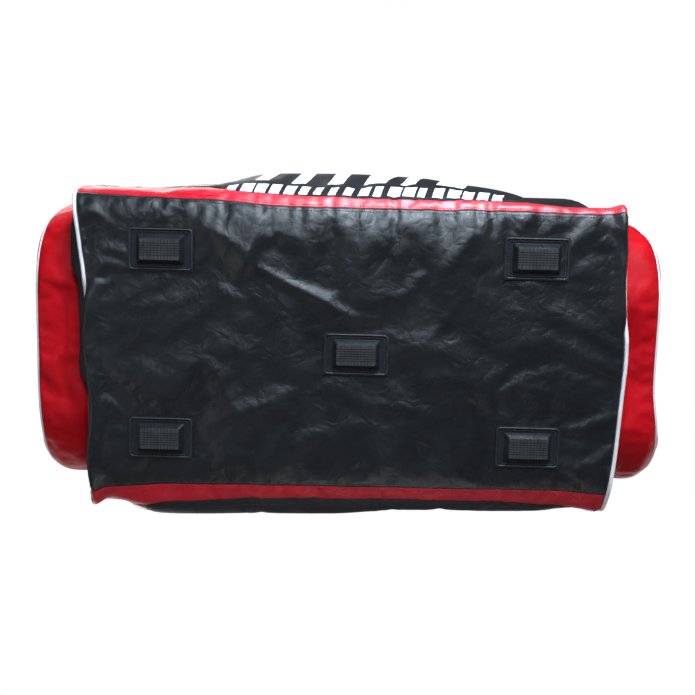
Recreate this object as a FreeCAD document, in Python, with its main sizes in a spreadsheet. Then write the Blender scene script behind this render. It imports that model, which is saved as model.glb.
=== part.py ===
import FreeCAD, Part
import Sketcher
import os
from FreeCAD import Placement, Rotation, Vector

# A large hockey equipment bag, standing on the five moulded feet under its base.
# +X runs along the bag, -Y is its front, +Z is up. The origin is the middle of the plane the feet stand on.
# Fabric panels are plates as thick as cloth, lining and seam together. All sizes are millimetres or degrees.

DRIVING_SIZES = {
    # main body
    "body_length": 780,
    "body_depth": 460,
    "body_height": 420,
    "fabric": 2.4,
    "low_radius": 50,
    "top_radius": 36,
    "piping_radius": 3,
    "seam_gap": 0.2,
    "tool_reach": 10,
    # red band round the lower long edges, between two angles of the curve there
    "seam_angle": 31,
    "band_angle": 27,
    # stiffener that lies inside on the base
    "board_length": 740,
    "board_depth": 340,
    "board_thickness": 4,
    "board_corner": 20,
    # moulded feet
    "foot_drop": 13,
    "foot_length": 92,
    "foot_width": 60,
    "foot_flange": 3.2,
    "foot_lip": 3,
    "foot_recess": 1.4,
    "foot_block_length": 68,
    "foot_block_width": 42,
    "foot_taper": 30,
    "foot_corner": 3,
    "crest_margin": 4,
    "rib_pitch": 3.4,
    "rib_groove": 1.2,
    "cross_pitch": 4.76,
    "cross_groove": 0.96,
    "groove_depth": 0.8,
    "groove_overrun": 3,
    "foot_spacing_x": 528,
    "foot_spacing_y": 270,
    # the middle foot is sewn off the middle, by whole pitches of its grid
    "centre_foot_x_pitches": 3,
    "centre_foot_y_pitches": 2,
    # lid and its zip
    "opening_length": 720,
    "opening_depth": 366,
    "opening_radius": 70,
    "zip_half": 7,
    "zip_lap": 5,
    "zip_tape": 1,
    "tape_gap": 0.1,
    "coil_half": 2.6,
    "coil_height": 2.6,
    "half_gap": 0.2,
    # end pockets
    "pocket_depth": 68,
    "pocket_width": 384,
    "pocket_height": 290,
    "pocket_base": 52,
    "pocket_low_radius": 120,
    "pocket_top_radius": 46,
    "pocket_fabric": 2,
    "pocket_piping": 2.5,
    "pocket_lip": 6,
    # webbing handles
    "webbing_width": 38,
    "webbing": 2.2,
    "strand_spacing": 260,
    "handle_drop": 155,
    "handle_hinge": 390,
    "handle_fold": 4.5,
    "handle_corner": 60,
    "fold_clearance": 0.3,
    "web_low": 2.6,
    "web_high": 0.4,
    "anchor_length": 90,
    "grip_length": 116,
    "grip_width": 54,
    "grip_back": 5.4,
    "grip_front": 4.6,
    "grip_slack": 0.15,
    # zip sliders and pullers
    "slider_length": 14,
    "slider_width": 10,
    "slider_plate": 2.2,
    "slider_gap": 0.3,
    "pin_rise": 2.6,
    "pin_radius": 0.8,
    "eye_clearance": 0.06,
    "eye_radius": 1.8,
    "eye_width": 4.6,
    "lug_thickness": 1.6,
    "lug_length": 4,
    "lug_gap": 0.4,
    "lug_top": 1.4,
    "lug_sink": 0.1,
    "pin_sink": 0.2,
    "puller_length": 32,
    "puller_width": 9,
    "puller_thickness": 1.4,
    "neck_length": 8,
    "neck_lap": 1,
    "cord_hole": 2,
    "slider_spacing": 22,
    "main_droop": 5.5,
    "pocket_droop": 6.5,
}

# Places along the axes, as expressions on the sheet
BASE_Z = "Sizes.foot_drop"
TOP_Z = "(Sizes.foot_drop + Sizes.body_height)"
SIDE_Y = "(Sizes.body_depth / 2)"
LOW_FLAT_Y = "(Sizes.body_depth / 2 - Sizes.low_radius)"
TOP_FLAT_Y = "(Sizes.body_depth / 2 - Sizes.top_radius)"
SHELL_X = "(Sizes.body_length / 2 - 2 * Sizes.piping_radius - Sizes.seam_gap)"
LOW_CORNER_Z = "(Sizes.foot_drop + Sizes.low_radius)"
HIGH_CORNER_Z = f"({TOP_Z} - Sizes.top_radius)"
MIDDLE_Z = "(Sizes.foot_drop + Sizes.body_height / 2)"
END_PANEL_X = "(Sizes.body_length / 2 - Sizes.piping_radius)"
POCKET_TOP_Z = "(Sizes.pocket_base + Sizes.pocket_height)"
POCKET_MIDDLE_Z = "(Sizes.pocket_base + Sizes.pocket_height / 2)"
POCKET_FLAT_Y = "(Sizes.pocket_width / 2 - Sizes.pocket_top_radius)"
POCKET_WALL_X = f"({END_PANEL_X} + Sizes.fabric / 2 + Sizes.seam_gap)"
POCKET_FACE_X = "(Sizes.body_length / 2 + Sizes.pocket_depth - Sizes.pocket_piping)"
POCKET_ZIP_X = f"({POCKET_FACE_X} - Sizes.pocket_piping - Sizes.pocket_lip - Sizes.zip_half)"
HINGE_Y = "(Sizes.opening_depth / 2)"

LEFT, RIGHT = -1, 1
FRONT, BACK = -1, 1
DOWN = Vector(0, 0, -1)
UP = Vector(0, 0, 1)
ALONG_X = Rotation(Vector(0, 1, 0), Vector(0, 0, 1), Vector(1, 0, 0), "ZXY")
ALONG_Y = Rotation(Vector(0, 0, 1), Vector(0, 1, 0))
FACE_DOWN = Rotation(Vector(1, 0, 0), 180)
ROUND = 1e-6

DOC = FreeCAD.newDocument("HockeyBag")
SHEET = DOC.addObject("Spreadsheet::Sheet", "Sizes")
NODES = []


def fill_sheet():
    for row, (alias, value) in enumerate(DRIVING_SIZES.items(), start=1):
        SHEET.set(f"A{row}", alias)
        SHEET.set(f"B{row}", str(value))
        SHEET.setAlias(f"B{row}", alias)
    DOC.recompute()


def value_of(expression):
    """The number that an expression on the sheet stands for now."""
    return float(SHEET.evalExpression(expression))


def node(part, label):
    """Marks a finished sub-part; its label names its file."""
    part.Label = label
    NODES.append(part)
    return part


def place(part, x="0", y="0", z="0"):
    for axis, expression in zip("xyz", (x, y, z)):
        part.setExpression(f"Placement.Base.{axis}", expression)
    return part


def centred(width):
    return f"-({width}) / 2", f"({width}) / 2"


def outward(side, near, far):
    """The (low, high) pair between two distances from the middle, on one side of it."""
    return (near, far) if side > 0 else (f"-({far})", f"-({near})")


# ---------------------------------------------------------------- building blocks


def box(x, y, z):
    """A box from three (low, high) pairs of expressions."""
    part = DOC.addObject("Part::Box", "Block")
    for size, (low, high) in zip(("Length", "Width", "Height"), (x, y, z)):
        part.setExpression(size, f"({high}) - ({low})")
    return place(part, x[0], y[0], z[0])


def rod(radius, length, axis_rotation, x="0", y="0", z="0"):
    part = DOC.addObject("Part::Cylinder", "Rod")
    part.setExpression("Radius", radius)
    part.setExpression("Height", length)
    part.Placement = Placement(Vector(), axis_rotation)
    return place(part, x, y, z)


def cut(base, tool):
    part = DOC.addObject("Part::Cut", "Cut")
    part.Base, part.Tool = base, tool
    return part


def fuse(*parts):
    part = DOC.addObject("Part::MultiFuse", "Fused")
    part.Shapes = list(parts)
    return part


def group(*parts):
    """Separate solids that share one node."""
    part = DOC.addObject("Part::Compound", "Group")
    part.Links = list(parts)
    return part


def slice_of_bar(start, toward, radius, angle, y, z):
    """A wedge of a round bar as long as the bag's shell, from one direction towards another."""
    axis = start.cross(toward)
    part = DOC.addObject("Part::Cylinder", "Slice")
    part.setExpression("Radius", radius)
    part.setExpression("Height", f"2 * {SHELL_X}")
    part.setExpression("Angle", angle)
    part.Placement = Placement(Vector(), Rotation(start, toward, axis, "ZXY"))
    return place(part, f"{-round(axis.x)} * {SHELL_X}", y, z)


def curved_edge(start, toward, angle, side, radius, z):
    """The fabric that turns round one of the bag's long edges."""
    y = f"{side} * (Sizes.body_depth / 2 - {radius})"
    outer = slice_of_bar(start, toward, radius, angle, y, z)
    inner = slice_of_bar(start, toward, f"{radius} - Sizes.fabric", angle, y, z)
    return cut(outer, inner)


def origin_plane(body, role):
    return next(feature for feature in body.Origin.OriginFeatures if feature.Role == role)


def rectangle_sketch(body, width, height, support=None):
    """A rectangle round the middle of the XY plane, or on a face, with its sizes bound to the sheet."""
    sketch = body.newObject("Sketcher::SketchObject", "Outline")
    sketch.AttachmentSupport = [support or (origin_plane(body, "XY_Plane"), "")]
    sketch.MapMode = "FlatFace"
    half_x, half_y = value_of(width) / 2, value_of(height) / 2
    corners = [Vector(x * half_x, y * half_y, 0) for x, y in ((-1, -1), (1, -1), (1, 1), (-1, 1))]
    for i in range(4):
        sketch.addGeometry(Part.LineSegment(corners[i], corners[(i + 1) % 4]), False)
    for i in range(4):
        sketch.addConstraint(Sketcher.Constraint("Coincident", i, 2, (i + 1) % 4, 1))
    for i in (0, 2):
        sketch.addConstraint(Sketcher.Constraint("Horizontal", i))
    for i in (1, 3):
        sketch.addConstraint(Sketcher.Constraint("Vertical", i))
    origin = (-1, 1)
    for name, kind, first, last, size in (
        ("width", "DistanceX", (0, 1), (0, 2), width),
        ("height", "DistanceY", (1, 1), (1, 2), height),
        ("left", "DistanceX", (0, 1), origin, f"({width}) / 2"),
        ("low", "DistanceY", (0, 1), origin, f"({height}) / 2"),
    ):
        number = sketch.addConstraint(Sketcher.Constraint(kind, *first, *last, value_of(size)))
        sketch.renameConstraint(number, name)
        sketch.setExpression(f"Constraints.{name}", size)
    return sketch


def pad(body, sketch, length, taper=None):
    feature = body.newObject("PartDesign::Pad", "Pad")
    feature.Profile = sketch
    feature.setExpression("Length", length)
    if taper:
        feature.setExpression("TaperAngle", taper)
    DOC.recompute()
    return feature


def pocket(body, sketch, depth):
    feature = body.newObject("PartDesign::Pocket", "Pocket")
    feature.Profile = sketch
    feature.setExpression("Length", depth)
    DOC.recompute()
    return feature


def fillet(body, base, edges, radius):
    feature = body.newObject("PartDesign::Fillet", "Fillet")
    feature.Base = (base, edges)
    feature.setExpression("Radius", radius)
    DOC.recompute()
    return feature


def upright_edges(feature, keep=lambda point: True):
    """Names of the straight edges that run along the body's own Z."""
    names = []
    for number, edge in enumerate(feature.Shape.Edges, start=1):
        first, last = edge.Vertexes[0].Point, edge.Vertexes[-1].Point
        same_place = abs(first.x - last.x) < ROUND and abs(first.y - last.y) < ROUND
        if same_place and keep(first):
            names.append(f"Edge{number}")
    return names


def top_face(feature):
    """The name of the flat face that lies highest in the body's own frame."""
    faces = feature.Shape.Faces
    number = max(range(len(faces)), key=lambda i: (round(faces[i].BoundBox.ZMin, 4), faces[i].Area))
    return f"Face{number + 1}"


def rounded_slab(width, height, thickness, low_radius, high_radius=None, rotation=None):
    """A plate centred on its own origin, thick along +Z, with rounded corners low and high in Y."""
    body = DOC.addObject("PartDesign::Body", "Slab")
    feature = pad(body, rectangle_sketch(body, width, height), thickness)
    feature = fillet(body, feature, upright_edges(feature, lambda point: point.y < 0), low_radius)
    if high_radius:
        feature = fillet(body, feature, upright_edges(feature, lambda point: point.y > 0), high_radius)
    body.Tip = feature
    if rotation:
        body.Placement = Placement(Vector(), rotation)
    return body


def bead(width, height, low_radius, top_radius, tube, x, z):
    """A closed round bead along a rounded rectangle that faces X: piping sewn into a seam."""
    parts = []
    for rise, radius in ((-1, low_radius), (1, top_radius)):
        run = f"(({width}) / 2 - ({radius}))"
        level = f"{z} + {rise} * ({height}) / 2"
        parts.append(rod(tube, f"2 * {run}", ALONG_Y, x, f"-{run}", level))
        for side in (-1, 1):
            start, toward = Vector(0, side, 0), Vector(0, 0, rise)
            corner = DOC.addObject("Part::Torus", "Corner")
            corner.setExpression("Radius1", radius)
            corner.setExpression("Radius2", tube)
            corner.Angle3 = 90
            corner.Placement = Placement(Vector(), Rotation(start, toward, start.cross(toward), "ZXY"))
            parts.append(place(corner, x, f"{side} * {run}", f"{level} - {rise} * ({radius})"))
    rise_length = f"({height}) - ({low_radius}) - ({top_radius})"
    for side in (-1, 1):
        low_end = f"{z} - ({height}) / 2 + ({low_radius})"
        parts.append(rod(tube, rise_length, Rotation(), x, f"{side} * ({width}) / 2", low_end))
    return fuse(*parts)


# ---------------------------------------------------------------- main body


def make_bottom_panel():
    shell = f"-{SHELL_X}", SHELL_X
    flat = box(shell, (f"-{LOW_FLAT_Y}", LOW_FLAT_Y), (BASE_Z, f"{BASE_Z} + Sizes.fabric"))
    edges = [
        curved_edge(DOWN, Vector(0, side, 0), "Sizes.seam_angle", side, "Sizes.low_radius", LOW_CORNER_Z)
        for side in (FRONT, BACK)
    ]
    node(fuse(flat, *edges), "bottom_panel")


def make_base_board():
    lift = f"({BASE_Z} + Sizes.fabric + Sizes.seam_gap)"
    board = rounded_slab("Sizes.board_length", "Sizes.board_depth", "Sizes.board_thickness",
                         "Sizes.board_corner")
    node(place(board, z=lift), "base_board")


def make_side_panels(side, name):
    """The red band on a lower long edge, and the panel that turns up from it to the top's own curve."""
    shell = f"-{SHELL_X}", SHELL_X
    outwards = Vector(0, side, 0)
    band_end = "Sizes.seam_angle + Sizes.band_angle"
    turn = curved_edge(DOWN, outwards, band_end, side, "Sizes.low_radius", LOW_CORNER_Z)
    past = "Sizes.low_radius + Sizes.tool_reach"
    beneath = slice_of_bar(DOWN, outwards, past, "Sizes.seam_angle", f"{side} * {LOW_FLAT_Y}", LOW_CORNER_Z)
    node(cut(turn, beneath), f"{name}_lower_band")
    rest = curved_edge(outwards, DOWN, f"90 - ({band_end})", side, "Sizes.low_radius", LOW_CORNER_Z)
    wall = box(shell, outward(side, f"{SIDE_Y} - Sizes.fabric", SIDE_Y), (LOW_CORNER_Z, HIGH_CORNER_Z))
    node(fuse(rest, wall), f"{name}_panel")


def make_end(side, name):
    end_x = f"{side} * {END_PANEL_X}"
    inset = "(4 * Sizes.piping_radius + 2 * Sizes.seam_gap)"
    panel = rounded_slab(
        f"Sizes.body_depth - {inset}",
        f"Sizes.body_height - {inset}",
        "Sizes.fabric",
        f"Sizes.low_radius - {inset} / 2",
        f"Sizes.top_radius - {inset} / 2",
        ALONG_X,
    )
    node(place(panel, f"{end_x} - Sizes.fabric / 2", "0", MIDDLE_Z), f"{name}_end_panel")
    piping = bead(
        "(Sizes.body_depth - 2 * Sizes.piping_radius)",
        "(Sizes.body_height - 2 * Sizes.piping_radius)",
        "(Sizes.low_radius - Sizes.piping_radius)",
        "(Sizes.top_radius - Sizes.piping_radius)",
        "Sizes.piping_radius",
        end_x,
        MIDDLE_Z,
    )
    node(piping, f"{name}_end_piping")


# ---------------------------------------------------------------- top, lid and main zip


def lid_outline(inset, thickness, z):
    """A slab of the lid opening's shape, drawn in by inset on the three sides that the zip runs round."""
    length = f"(Sizes.opening_length - 2 * ({inset}))"
    depth = f"(Sizes.opening_depth - ({inset}))"
    slab = rounded_slab(length, depth, thickness, f"Sizes.opening_radius - ({inset})")
    return place(slab, "0", f"({inset}) / 2", z)


def zip_strip(outer_inset, inner_inset, thickness, z):
    """A strip that follows the lid's zip round three sides, open along the hinge."""
    inner = lid_outline(inner_inset, f"({thickness}) + 2 * Sizes.tool_reach", f"({z}) - Sizes.tool_reach")
    strip = cut(lid_outline(outer_inset, thickness, z), inner)
    hinge_end = f"{HINGE_Y} - Sizes.zip_lap"
    beyond = box(centred("Sizes.body_length"), (hinge_end, SIDE_Y), (BASE_Z, f"{TOP_Z} + Sizes.tool_reach"))
    return cut(strip, beyond)


def make_top_rim():
    shell = f"-{SHELL_X}", SHELL_X
    under = f"({TOP_Z} - Sizes.fabric)"
    flat = box(shell, (f"-{TOP_FLAT_Y}", TOP_FLAT_Y), (under, TOP_Z))
    edges = [
        curved_edge(UP, Vector(0, side, 0), "90", side, "Sizes.top_radius", HIGH_CORNER_Z)
        for side in (FRONT, BACK)
    ]
    opening = lid_outline("0", "Sizes.fabric + 2 * Sizes.tool_reach", f"{under} - Sizes.tool_reach")
    node(cut(fuse(flat, *edges), opening), "top_rim")


def make_lid_and_zip():
    tape_z = f"({TOP_Z} - Sizes.fabric - Sizes.zip_tape - Sizes.tape_gap)"
    coil_z = f"({tape_z} + Sizes.zip_tape)"
    lid_inset = "(2 * Sizes.zip_half)"
    lid = lid_outline(lid_inset, "Sizes.fabric", f"{TOP_Z} - Sizes.fabric")
    hinge_gap = f"({HINGE_Y} - 2 * Sizes.half_gap)"
    behind = box(centred("Sizes.body_length"), (hinge_gap, SIDE_Y), (BASE_Z, f"{TOP_Z} + Sizes.tool_reach"))
    node(cut(lid, behind), "lid_panel")
    middle_low = "(Sizes.zip_half - Sizes.half_gap)"
    middle_high = "(Sizes.zip_half + Sizes.half_gap)"
    rim_tape = zip_strip("0 - Sizes.zip_lap", middle_low, "Sizes.zip_tape", tape_z)
    rim_coil = zip_strip("Sizes.zip_half - Sizes.coil_half", middle_low, "Sizes.coil_height", coil_z)
    node(fuse(rim_tape, rim_coil), "rim_zip_half")
    lid_lap = "(2 * Sizes.zip_half + Sizes.zip_lap)"
    lid_tape = zip_strip(middle_high, lid_lap, "Sizes.zip_tape", tape_z)
    lid_coil = zip_strip(middle_high, "Sizes.zip_half + Sizes.coil_half", "Sizes.coil_height", coil_z)
    node(fuse(lid_tape, lid_coil), "lid_zip_half")


# ---------------------------------------------------------------- end pockets


def pocket_outline(inset, thickness):
    """A slab of the pocket's outline, drawn in by inset all round, that faces along X."""
    slab = rounded_slab(
        f"Sizes.pocket_width - 2 * ({inset})",
        f"Sizes.pocket_height - 2 * ({inset})",
        thickness,
        f"Sizes.pocket_low_radius - ({inset})",
        f"Sizes.pocket_top_radius - ({inset})",
        ALONG_X,
    )
    return slab


def make_end_pocket(side, name):
    """A pocket on one end: gusset, piped face, and a flap along its top that a zip holds down."""
    far_x = f"({POCKET_FACE_X} - Sizes.pocket_piping - Sizes.seam_gap)"
    depth = f"({far_x} - {POCKET_WALL_X})"
    start = POCKET_WALL_X if side > 0 else f"-{far_x}"
    outer = place(pocket_outline("0", depth), start, "0", POCKET_MIDDLE_Z)
    hollow = pocket_outline("Sizes.pocket_fabric", f"{depth} + 2 * Sizes.tool_reach")
    inner = place(hollow, f"{start} - Sizes.tool_reach", "0", POCKET_MIDDLE_Z)
    zip_out = f"({POCKET_ZIP_X} + Sizes.zip_half)"
    above = f"{POCKET_TOP_Z} - Sizes.tool_reach", f"{POCKET_TOP_Z} + Sizes.tool_reach"
    mouth_x = outward(side, f"{POCKET_WALL_X} - Sizes.tool_reach", zip_out)
    mouth = box(mouth_x, (f"-{POCKET_FLAT_Y}", POCKET_FLAT_Y), above)
    node(cut(cut(outer, inner), mouth), f"{name}_pocket_gusset")

    face_x = f"{side} * {POCKET_FACE_X}"
    face = pocket_outline("(2 * Sizes.pocket_piping + Sizes.seam_gap)", "Sizes.pocket_fabric")
    place(face, f"{face_x} - Sizes.pocket_fabric / 2", "0", POCKET_MIDDLE_Z)
    node(face, f"{name}_pocket_face")
    piping = bead(
        "(Sizes.pocket_width - 2 * Sizes.pocket_piping)",
        "(Sizes.pocket_height - 2 * Sizes.pocket_piping)",
        "(Sizes.pocket_low_radius - Sizes.pocket_piping)",
        "(Sizes.pocket_top_radius - Sizes.pocket_piping)",
        "Sizes.pocket_piping",
        face_x,
        POCKET_MIDDLE_Z,
    )
    node(piping, f"{name}_pocket_piping")

    width = centred(f"2 * ({POCKET_FLAT_Y} - Sizes.seam_gap)")
    near_zip, near_teeth = f"({POCKET_ZIP_X} - Sizes.zip_half)", f"({POCKET_ZIP_X} - Sizes.half_gap)"
    flap_x = outward(side, f"{POCKET_WALL_X} + 2 * Sizes.seam_gap", near_zip)
    node(box(flap_x, width, (f"{POCKET_TOP_Z} - Sizes.pocket_fabric", POCKET_TOP_Z)), f"{name}_pocket_flap")
    tape_z = f"({POCKET_TOP_Z} - Sizes.pocket_fabric - Sizes.zip_tape - Sizes.tape_gap)"
    coil_z = f"({tape_z} + Sizes.zip_tape)"
    tape, coil = (tape_z, coil_z), (coil_z, f"{coil_z} + Sizes.coil_height")
    teeth = f"({POCKET_ZIP_X} - Sizes.coil_half)"
    flap_tape = box(outward(side, f"{near_zip} - Sizes.zip_lap", near_teeth), width, tape)
    flap_coil = box(outward(side, teeth, near_teeth), width, coil)
    node(fuse(flap_tape, flap_coil), f"{name}_flap_zip_half")
    far_teeth = f"({POCKET_ZIP_X} + Sizes.half_gap)"
    teeth = f"({POCKET_ZIP_X} + Sizes.coil_half)"
    face_tape = box(outward(side, far_teeth, f"{zip_out} + Sizes.zip_lap"), width, tape)
    face_coil = box(outward(side, far_teeth, teeth), width, coil)
    node(fuse(face_tape, face_coil), f"{name}_face_zip_half")


# ---------------------------------------------------------------- feet


def make_foot(name, x, y):
    """A moulded skid foot: a rimmed sewing flange and a tapered block with a gridded crest."""
    body = DOC.addObject("PartDesign::Body", name)
    flange = pad(body, rectangle_sketch(body, "Sizes.foot_length", "Sizes.foot_width"), "Sizes.foot_flange")
    flange = fillet(body, flange, upright_edges(flange), "Sizes.foot_corner")
    well = rectangle_sketch(
        body,
        "(Sizes.foot_length - 2 * Sizes.foot_lip)",
        "(Sizes.foot_width - 2 * Sizes.foot_lip)",
        (flange, top_face(flange)),
    )
    floor = pocket(body, well, "Sizes.foot_recess")

    block_rise = "(Sizes.foot_drop - Sizes.foot_flange + Sizes.foot_recess)"
    base = rectangle_sketch(body, "Sizes.foot_block_length", "Sizes.foot_block_width")
    base.setExpression("AttachmentOffset.Base.z", "Sizes.foot_flange - Sizes.foot_recess")
    block = pad(body, base, block_rise, "0 - Sizes.foot_taper")
    sloping = [
        f"Edge{number}"
        for number, edge in enumerate(block.Shape.Edges, start=1)
        if abs(edge.Vertexes[0].Z - edge.Vertexes[-1].Z) > 0.9 * value_of(block_rise)
    ]
    feature = fillet(body, block, sloping, "Sizes.foot_corner")

    shrink = f"(2 * {block_rise} * tan(Sizes.foot_taper))"
    crest_length = f"(Sizes.foot_block_length - {shrink})"
    crest_width = f"(Sizes.foot_block_width - {shrink})"
    for across in (False, True):
        run, span = (crest_width, crest_length) if across else (crest_length, crest_width)
        pitch = "Sizes.cross_pitch" if across else "Sizes.rib_pitch"
        count = int(value_of(f"({span} - Sizes.crest_margin) / {pitch}")) // 2 * 2
        sketch = groove_sketch(body, run, across, pitch, count)
        groove = pocket(body, sketch, "Sizes.groove_depth")
        feature = body.newObject("PartDesign::LinearPattern", "Grooves")
        feature.Originals = [groove]
        feature.Direction = (sketch, ["H_Axis" if across else "V_Axis"])
        feature.setExpression("Length", f"{pitch} * {count - 1}")
        feature.Occurrences = count
        body.Tip = feature
        DOC.recompute()
    body.Placement = Placement(Vector(), FACE_DOWN)
    node(place(body, x, y, BASE_Z), name)


def groove_sketch(body, run, across, pitch, count):
    """The first of the grooves that grid a foot's crest; the others repeat it."""
    first = f"(0 - {pitch} * {(count - 1) / 2})"
    length = f"({run} + 2 * Sizes.groove_overrun)"
    if across:
        sketch = rectangle_sketch(body, "Sizes.cross_groove", length)
        sketch.setExpression("AttachmentOffset.Base.x", first)
    else:
        sketch = rectangle_sketch(body, length, "Sizes.rib_groove")
        sketch.setExpression("AttachmentOffset.Base.y", first)
    sketch.setExpression("AttachmentOffset.Base.z", "Sizes.foot_drop")
    return sketch


def make_feet():
    across, along = "Sizes.foot_spacing_x / 2", "Sizes.foot_spacing_y / 2"
    for side_x, left_right in ((LEFT, "left"), (RIGHT, "right")):
        for side_y, front_back in ((FRONT, "front"), (BACK, "back")):
            make_foot(f"foot_{front_back}_{left_right}", f"{side_x} * {across}", f"{side_y} * {along}")
    middle_x = "Sizes.centre_foot_x_pitches * Sizes.cross_pitch"
    middle_y = "Sizes.centre_foot_y_pitches * Sizes.rib_pitch"
    make_foot("foot_centre", middle_x, middle_y)


# ---------------------------------------------------------------- handles


def make_handle(side, name):
    """A flat webbing loop that hangs from a fold at the top of a long side, with a padded grip."""
    wall = "(Sizes.body_depth / 2 + Sizes.seam_gap)"
    flat = outward(side, wall, f"{wall} + Sizes.webbing")
    hang = f"({wall} + 2 * Sizes.handle_fold)"
    loop = outward(side, hang, f"{hang} + Sizes.webbing")
    half_web = "Sizes.webbing_width / 2"
    low_z = "(Sizes.handle_hinge - Sizes.handle_drop)"
    turn_z = f"({low_z} + {half_web} + Sizes.handle_corner)"
    turn_x = "(Sizes.strand_spacing / 2 - Sizes.handle_corner)"
    anchors = []
    pieces = [box((f"-{turn_x}", turn_x), loop, (low_z, f"{low_z} + Sizes.webbing_width"))]
    for way in (LEFT, RIGHT):
        middle = f"{way} * Sizes.strand_spacing / 2"
        strand = f"{middle} - {half_web}", f"{middle} + {half_web}"
        anchors.append(folded_anchor(side, strand, flat, wall))
        pieces.append(box(strand, loop, (turn_z, "Sizes.handle_hinge")))
        pieces.append(flat_turn(way, loop[0], turn_x, turn_z))
    node(group(*anchors), f"{name}_handle_anchors")
    node(fuse(*pieces), f"{name}_handle")

    grip_y = outward(side, f"{hang} - Sizes.grip_back", f"{hang} + Sizes.webbing + Sizes.grip_front")
    grip_z = f"{low_z} + {half_web} - Sizes.grip_width / 2", f"{low_z} + {half_web} + Sizes.grip_width / 2"
    sleeve = box(centred("Sizes.grip_length"), grip_y, grip_z)
    slot_y = outward(side, f"{hang} - Sizes.grip_slack", f"{hang} + Sizes.webbing + Sizes.grip_slack")
    slot_z = f"{low_z} - Sizes.grip_slack", f"{low_z} + Sizes.webbing_width + Sizes.grip_slack"
    slot = box(centred("Sizes.grip_length + Sizes.tool_reach"), slot_y, slot_z)
    node(cut(sleeve, slot), f"{name}_grip")


def folded_anchor(side, strand, flat, wall):
    """Webbing sewn flat to the side, ending in the rolled fold that the loop swings round."""
    hinge = "Sizes.handle_hinge"
    strip = box(strand, flat, (f"{hinge} - Sizes.anchor_length", hinge))
    axis_y = f"({wall} + Sizes.handle_fold + Sizes.webbing / 2)"
    fold_radius = "(Sizes.handle_fold - Sizes.webbing / 2 - Sizes.fold_clearance)"
    fold = rod(fold_radius, "Sizes.webbing_width", ALONG_X, strand[0], f"{side} * {axis_y}", hinge)
    web_z = f"{hinge} - Sizes.web_low", f"{hinge} - Sizes.web_high"
    web = box(strand, outward(side, f"{wall} + Sizes.webbing / 2", axis_y), web_z)
    return fuse(strip, fold, web)


def flat_turn(way, low_y, turn_x, turn_z):
    """A quarter turn of webbing in its own plane, at a lower corner of the loop."""
    half_web = "Sizes.webbing_width / 2"
    start, toward = (Vector(1, 0, 0), DOWN) if way > 0 else (DOWN, Vector(-1, 0, 0))
    rings = []
    for radius in (f"Sizes.handle_corner + {half_web}", f"Sizes.handle_corner - {half_web}"):
        disc = DOC.addObject("Part::Cylinder", "Turn")
        disc.setExpression("Radius", radius)
        disc.setExpression("Height", "Sizes.webbing")
        disc.Angle = 90
        disc.Placement = Placement(Vector(), Rotation(start, toward, start.cross(toward), "ZXY"))
        rings.append(place(disc, f"{way} * {turn_x}", low_y, turn_z))
    return cut(*rings)


# ---------------------------------------------------------------- sliders and pullers


def make_slider(name, heading, x, y, z):
    """A zip slider that runs along its own X: a top plate, two lugs and the pin that the puller turns on."""
    plate = box(centred("Sizes.slider_length"), centred("Sizes.slider_width"), ("0", "Sizes.slider_plate"))
    pin_z = "(Sizes.slider_plate + Sizes.pin_rise)"
    inside = "(Sizes.eye_width / 2 + Sizes.lug_gap)"
    outside = f"({inside} + Sizes.lug_thickness)"
    lug_z = "Sizes.slider_plate - Sizes.lug_sink", f"{pin_z} + Sizes.lug_top"
    lugs = [box(centred("Sizes.lug_length"), outward(way, inside, outside), lug_z) for way in (-1, 1)]
    half_pin = f"({inside} + Sizes.pin_sink)"
    pin = rod("Sizes.pin_radius", f"2 * {half_pin}", ALONG_Y, "0", f"-{half_pin}", pin_z)
    slider = fuse(plate, *lugs, pin)
    slider.Placement = Placement(Vector(), Rotation(Vector(0, 0, 1), heading))
    node(place(slider, x, y, z), name)


def make_puller(name, heading, droop, x, y, z):
    """A flat tab along its own +X from an eye round the slider's pin, drooping by so many degrees."""
    half_eye = "Sizes.eye_width / 2"
    eye = rod("Sizes.eye_radius", "Sizes.eye_width", ALONG_Y, "0", f"-{half_eye}")
    half = "Sizes.puller_thickness / 2"
    thick = f"-{half}", half
    neck = box(("0", "Sizes.neck_length"), centred("Sizes.eye_width"), thick)
    tip_x = "Sizes.puller_length - Sizes.puller_width / 2"
    tab = box(("Sizes.neck_length - Sizes.neck_lap", tip_x), centred("Sizes.puller_width"), thick)
    tip = rod("Sizes.puller_width / 2", "Sizes.puller_thickness", Rotation(), tip_x, "0", f"-{half}")
    hole = rod("Sizes.cord_hole", "3 * Sizes.puller_thickness", Rotation(), tip_x, "0", f"-3 * {half}")
    bore_radius = "Sizes.pin_radius + Sizes.eye_clearance"
    bore = rod(bore_radius, "2 * Sizes.eye_width", ALONG_Y, "0", "0 - Sizes.eye_width")
    puller = cut(cut(fuse(eye, neck, tab, tip), bore), hole)
    turn = Rotation(Vector(0, 0, 1), heading).multiply(Rotation(Vector(0, 1, 0), value_of(droop)))
    puller.Placement = Placement(Vector(), turn)
    node(place(puller, x, y, z), name)


def make_main_sliders():
    """Two sliders meet in the middle of the lid's front run, with their pullers lying outwards."""
    slider_z = f"({TOP_Z} - Sizes.fabric - Sizes.tape_gap + Sizes.coil_height + Sizes.slider_gap)"
    zip_y = "(Sizes.zip_half - Sizes.opening_depth / 2)"
    pin_z = f"({slider_z} + Sizes.slider_plate + Sizes.pin_rise)"
    for side, name, heading in ((LEFT, "left", 180), (RIGHT, "right", 0)):
        middle = f"{side} * Sizes.slider_spacing / 2"
        make_slider(f"main_slider_{name}", heading, middle, zip_y, slider_z)
        make_puller(f"main_puller_{name}", heading, "Sizes.main_droop", middle, zip_y, pin_z)


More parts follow.
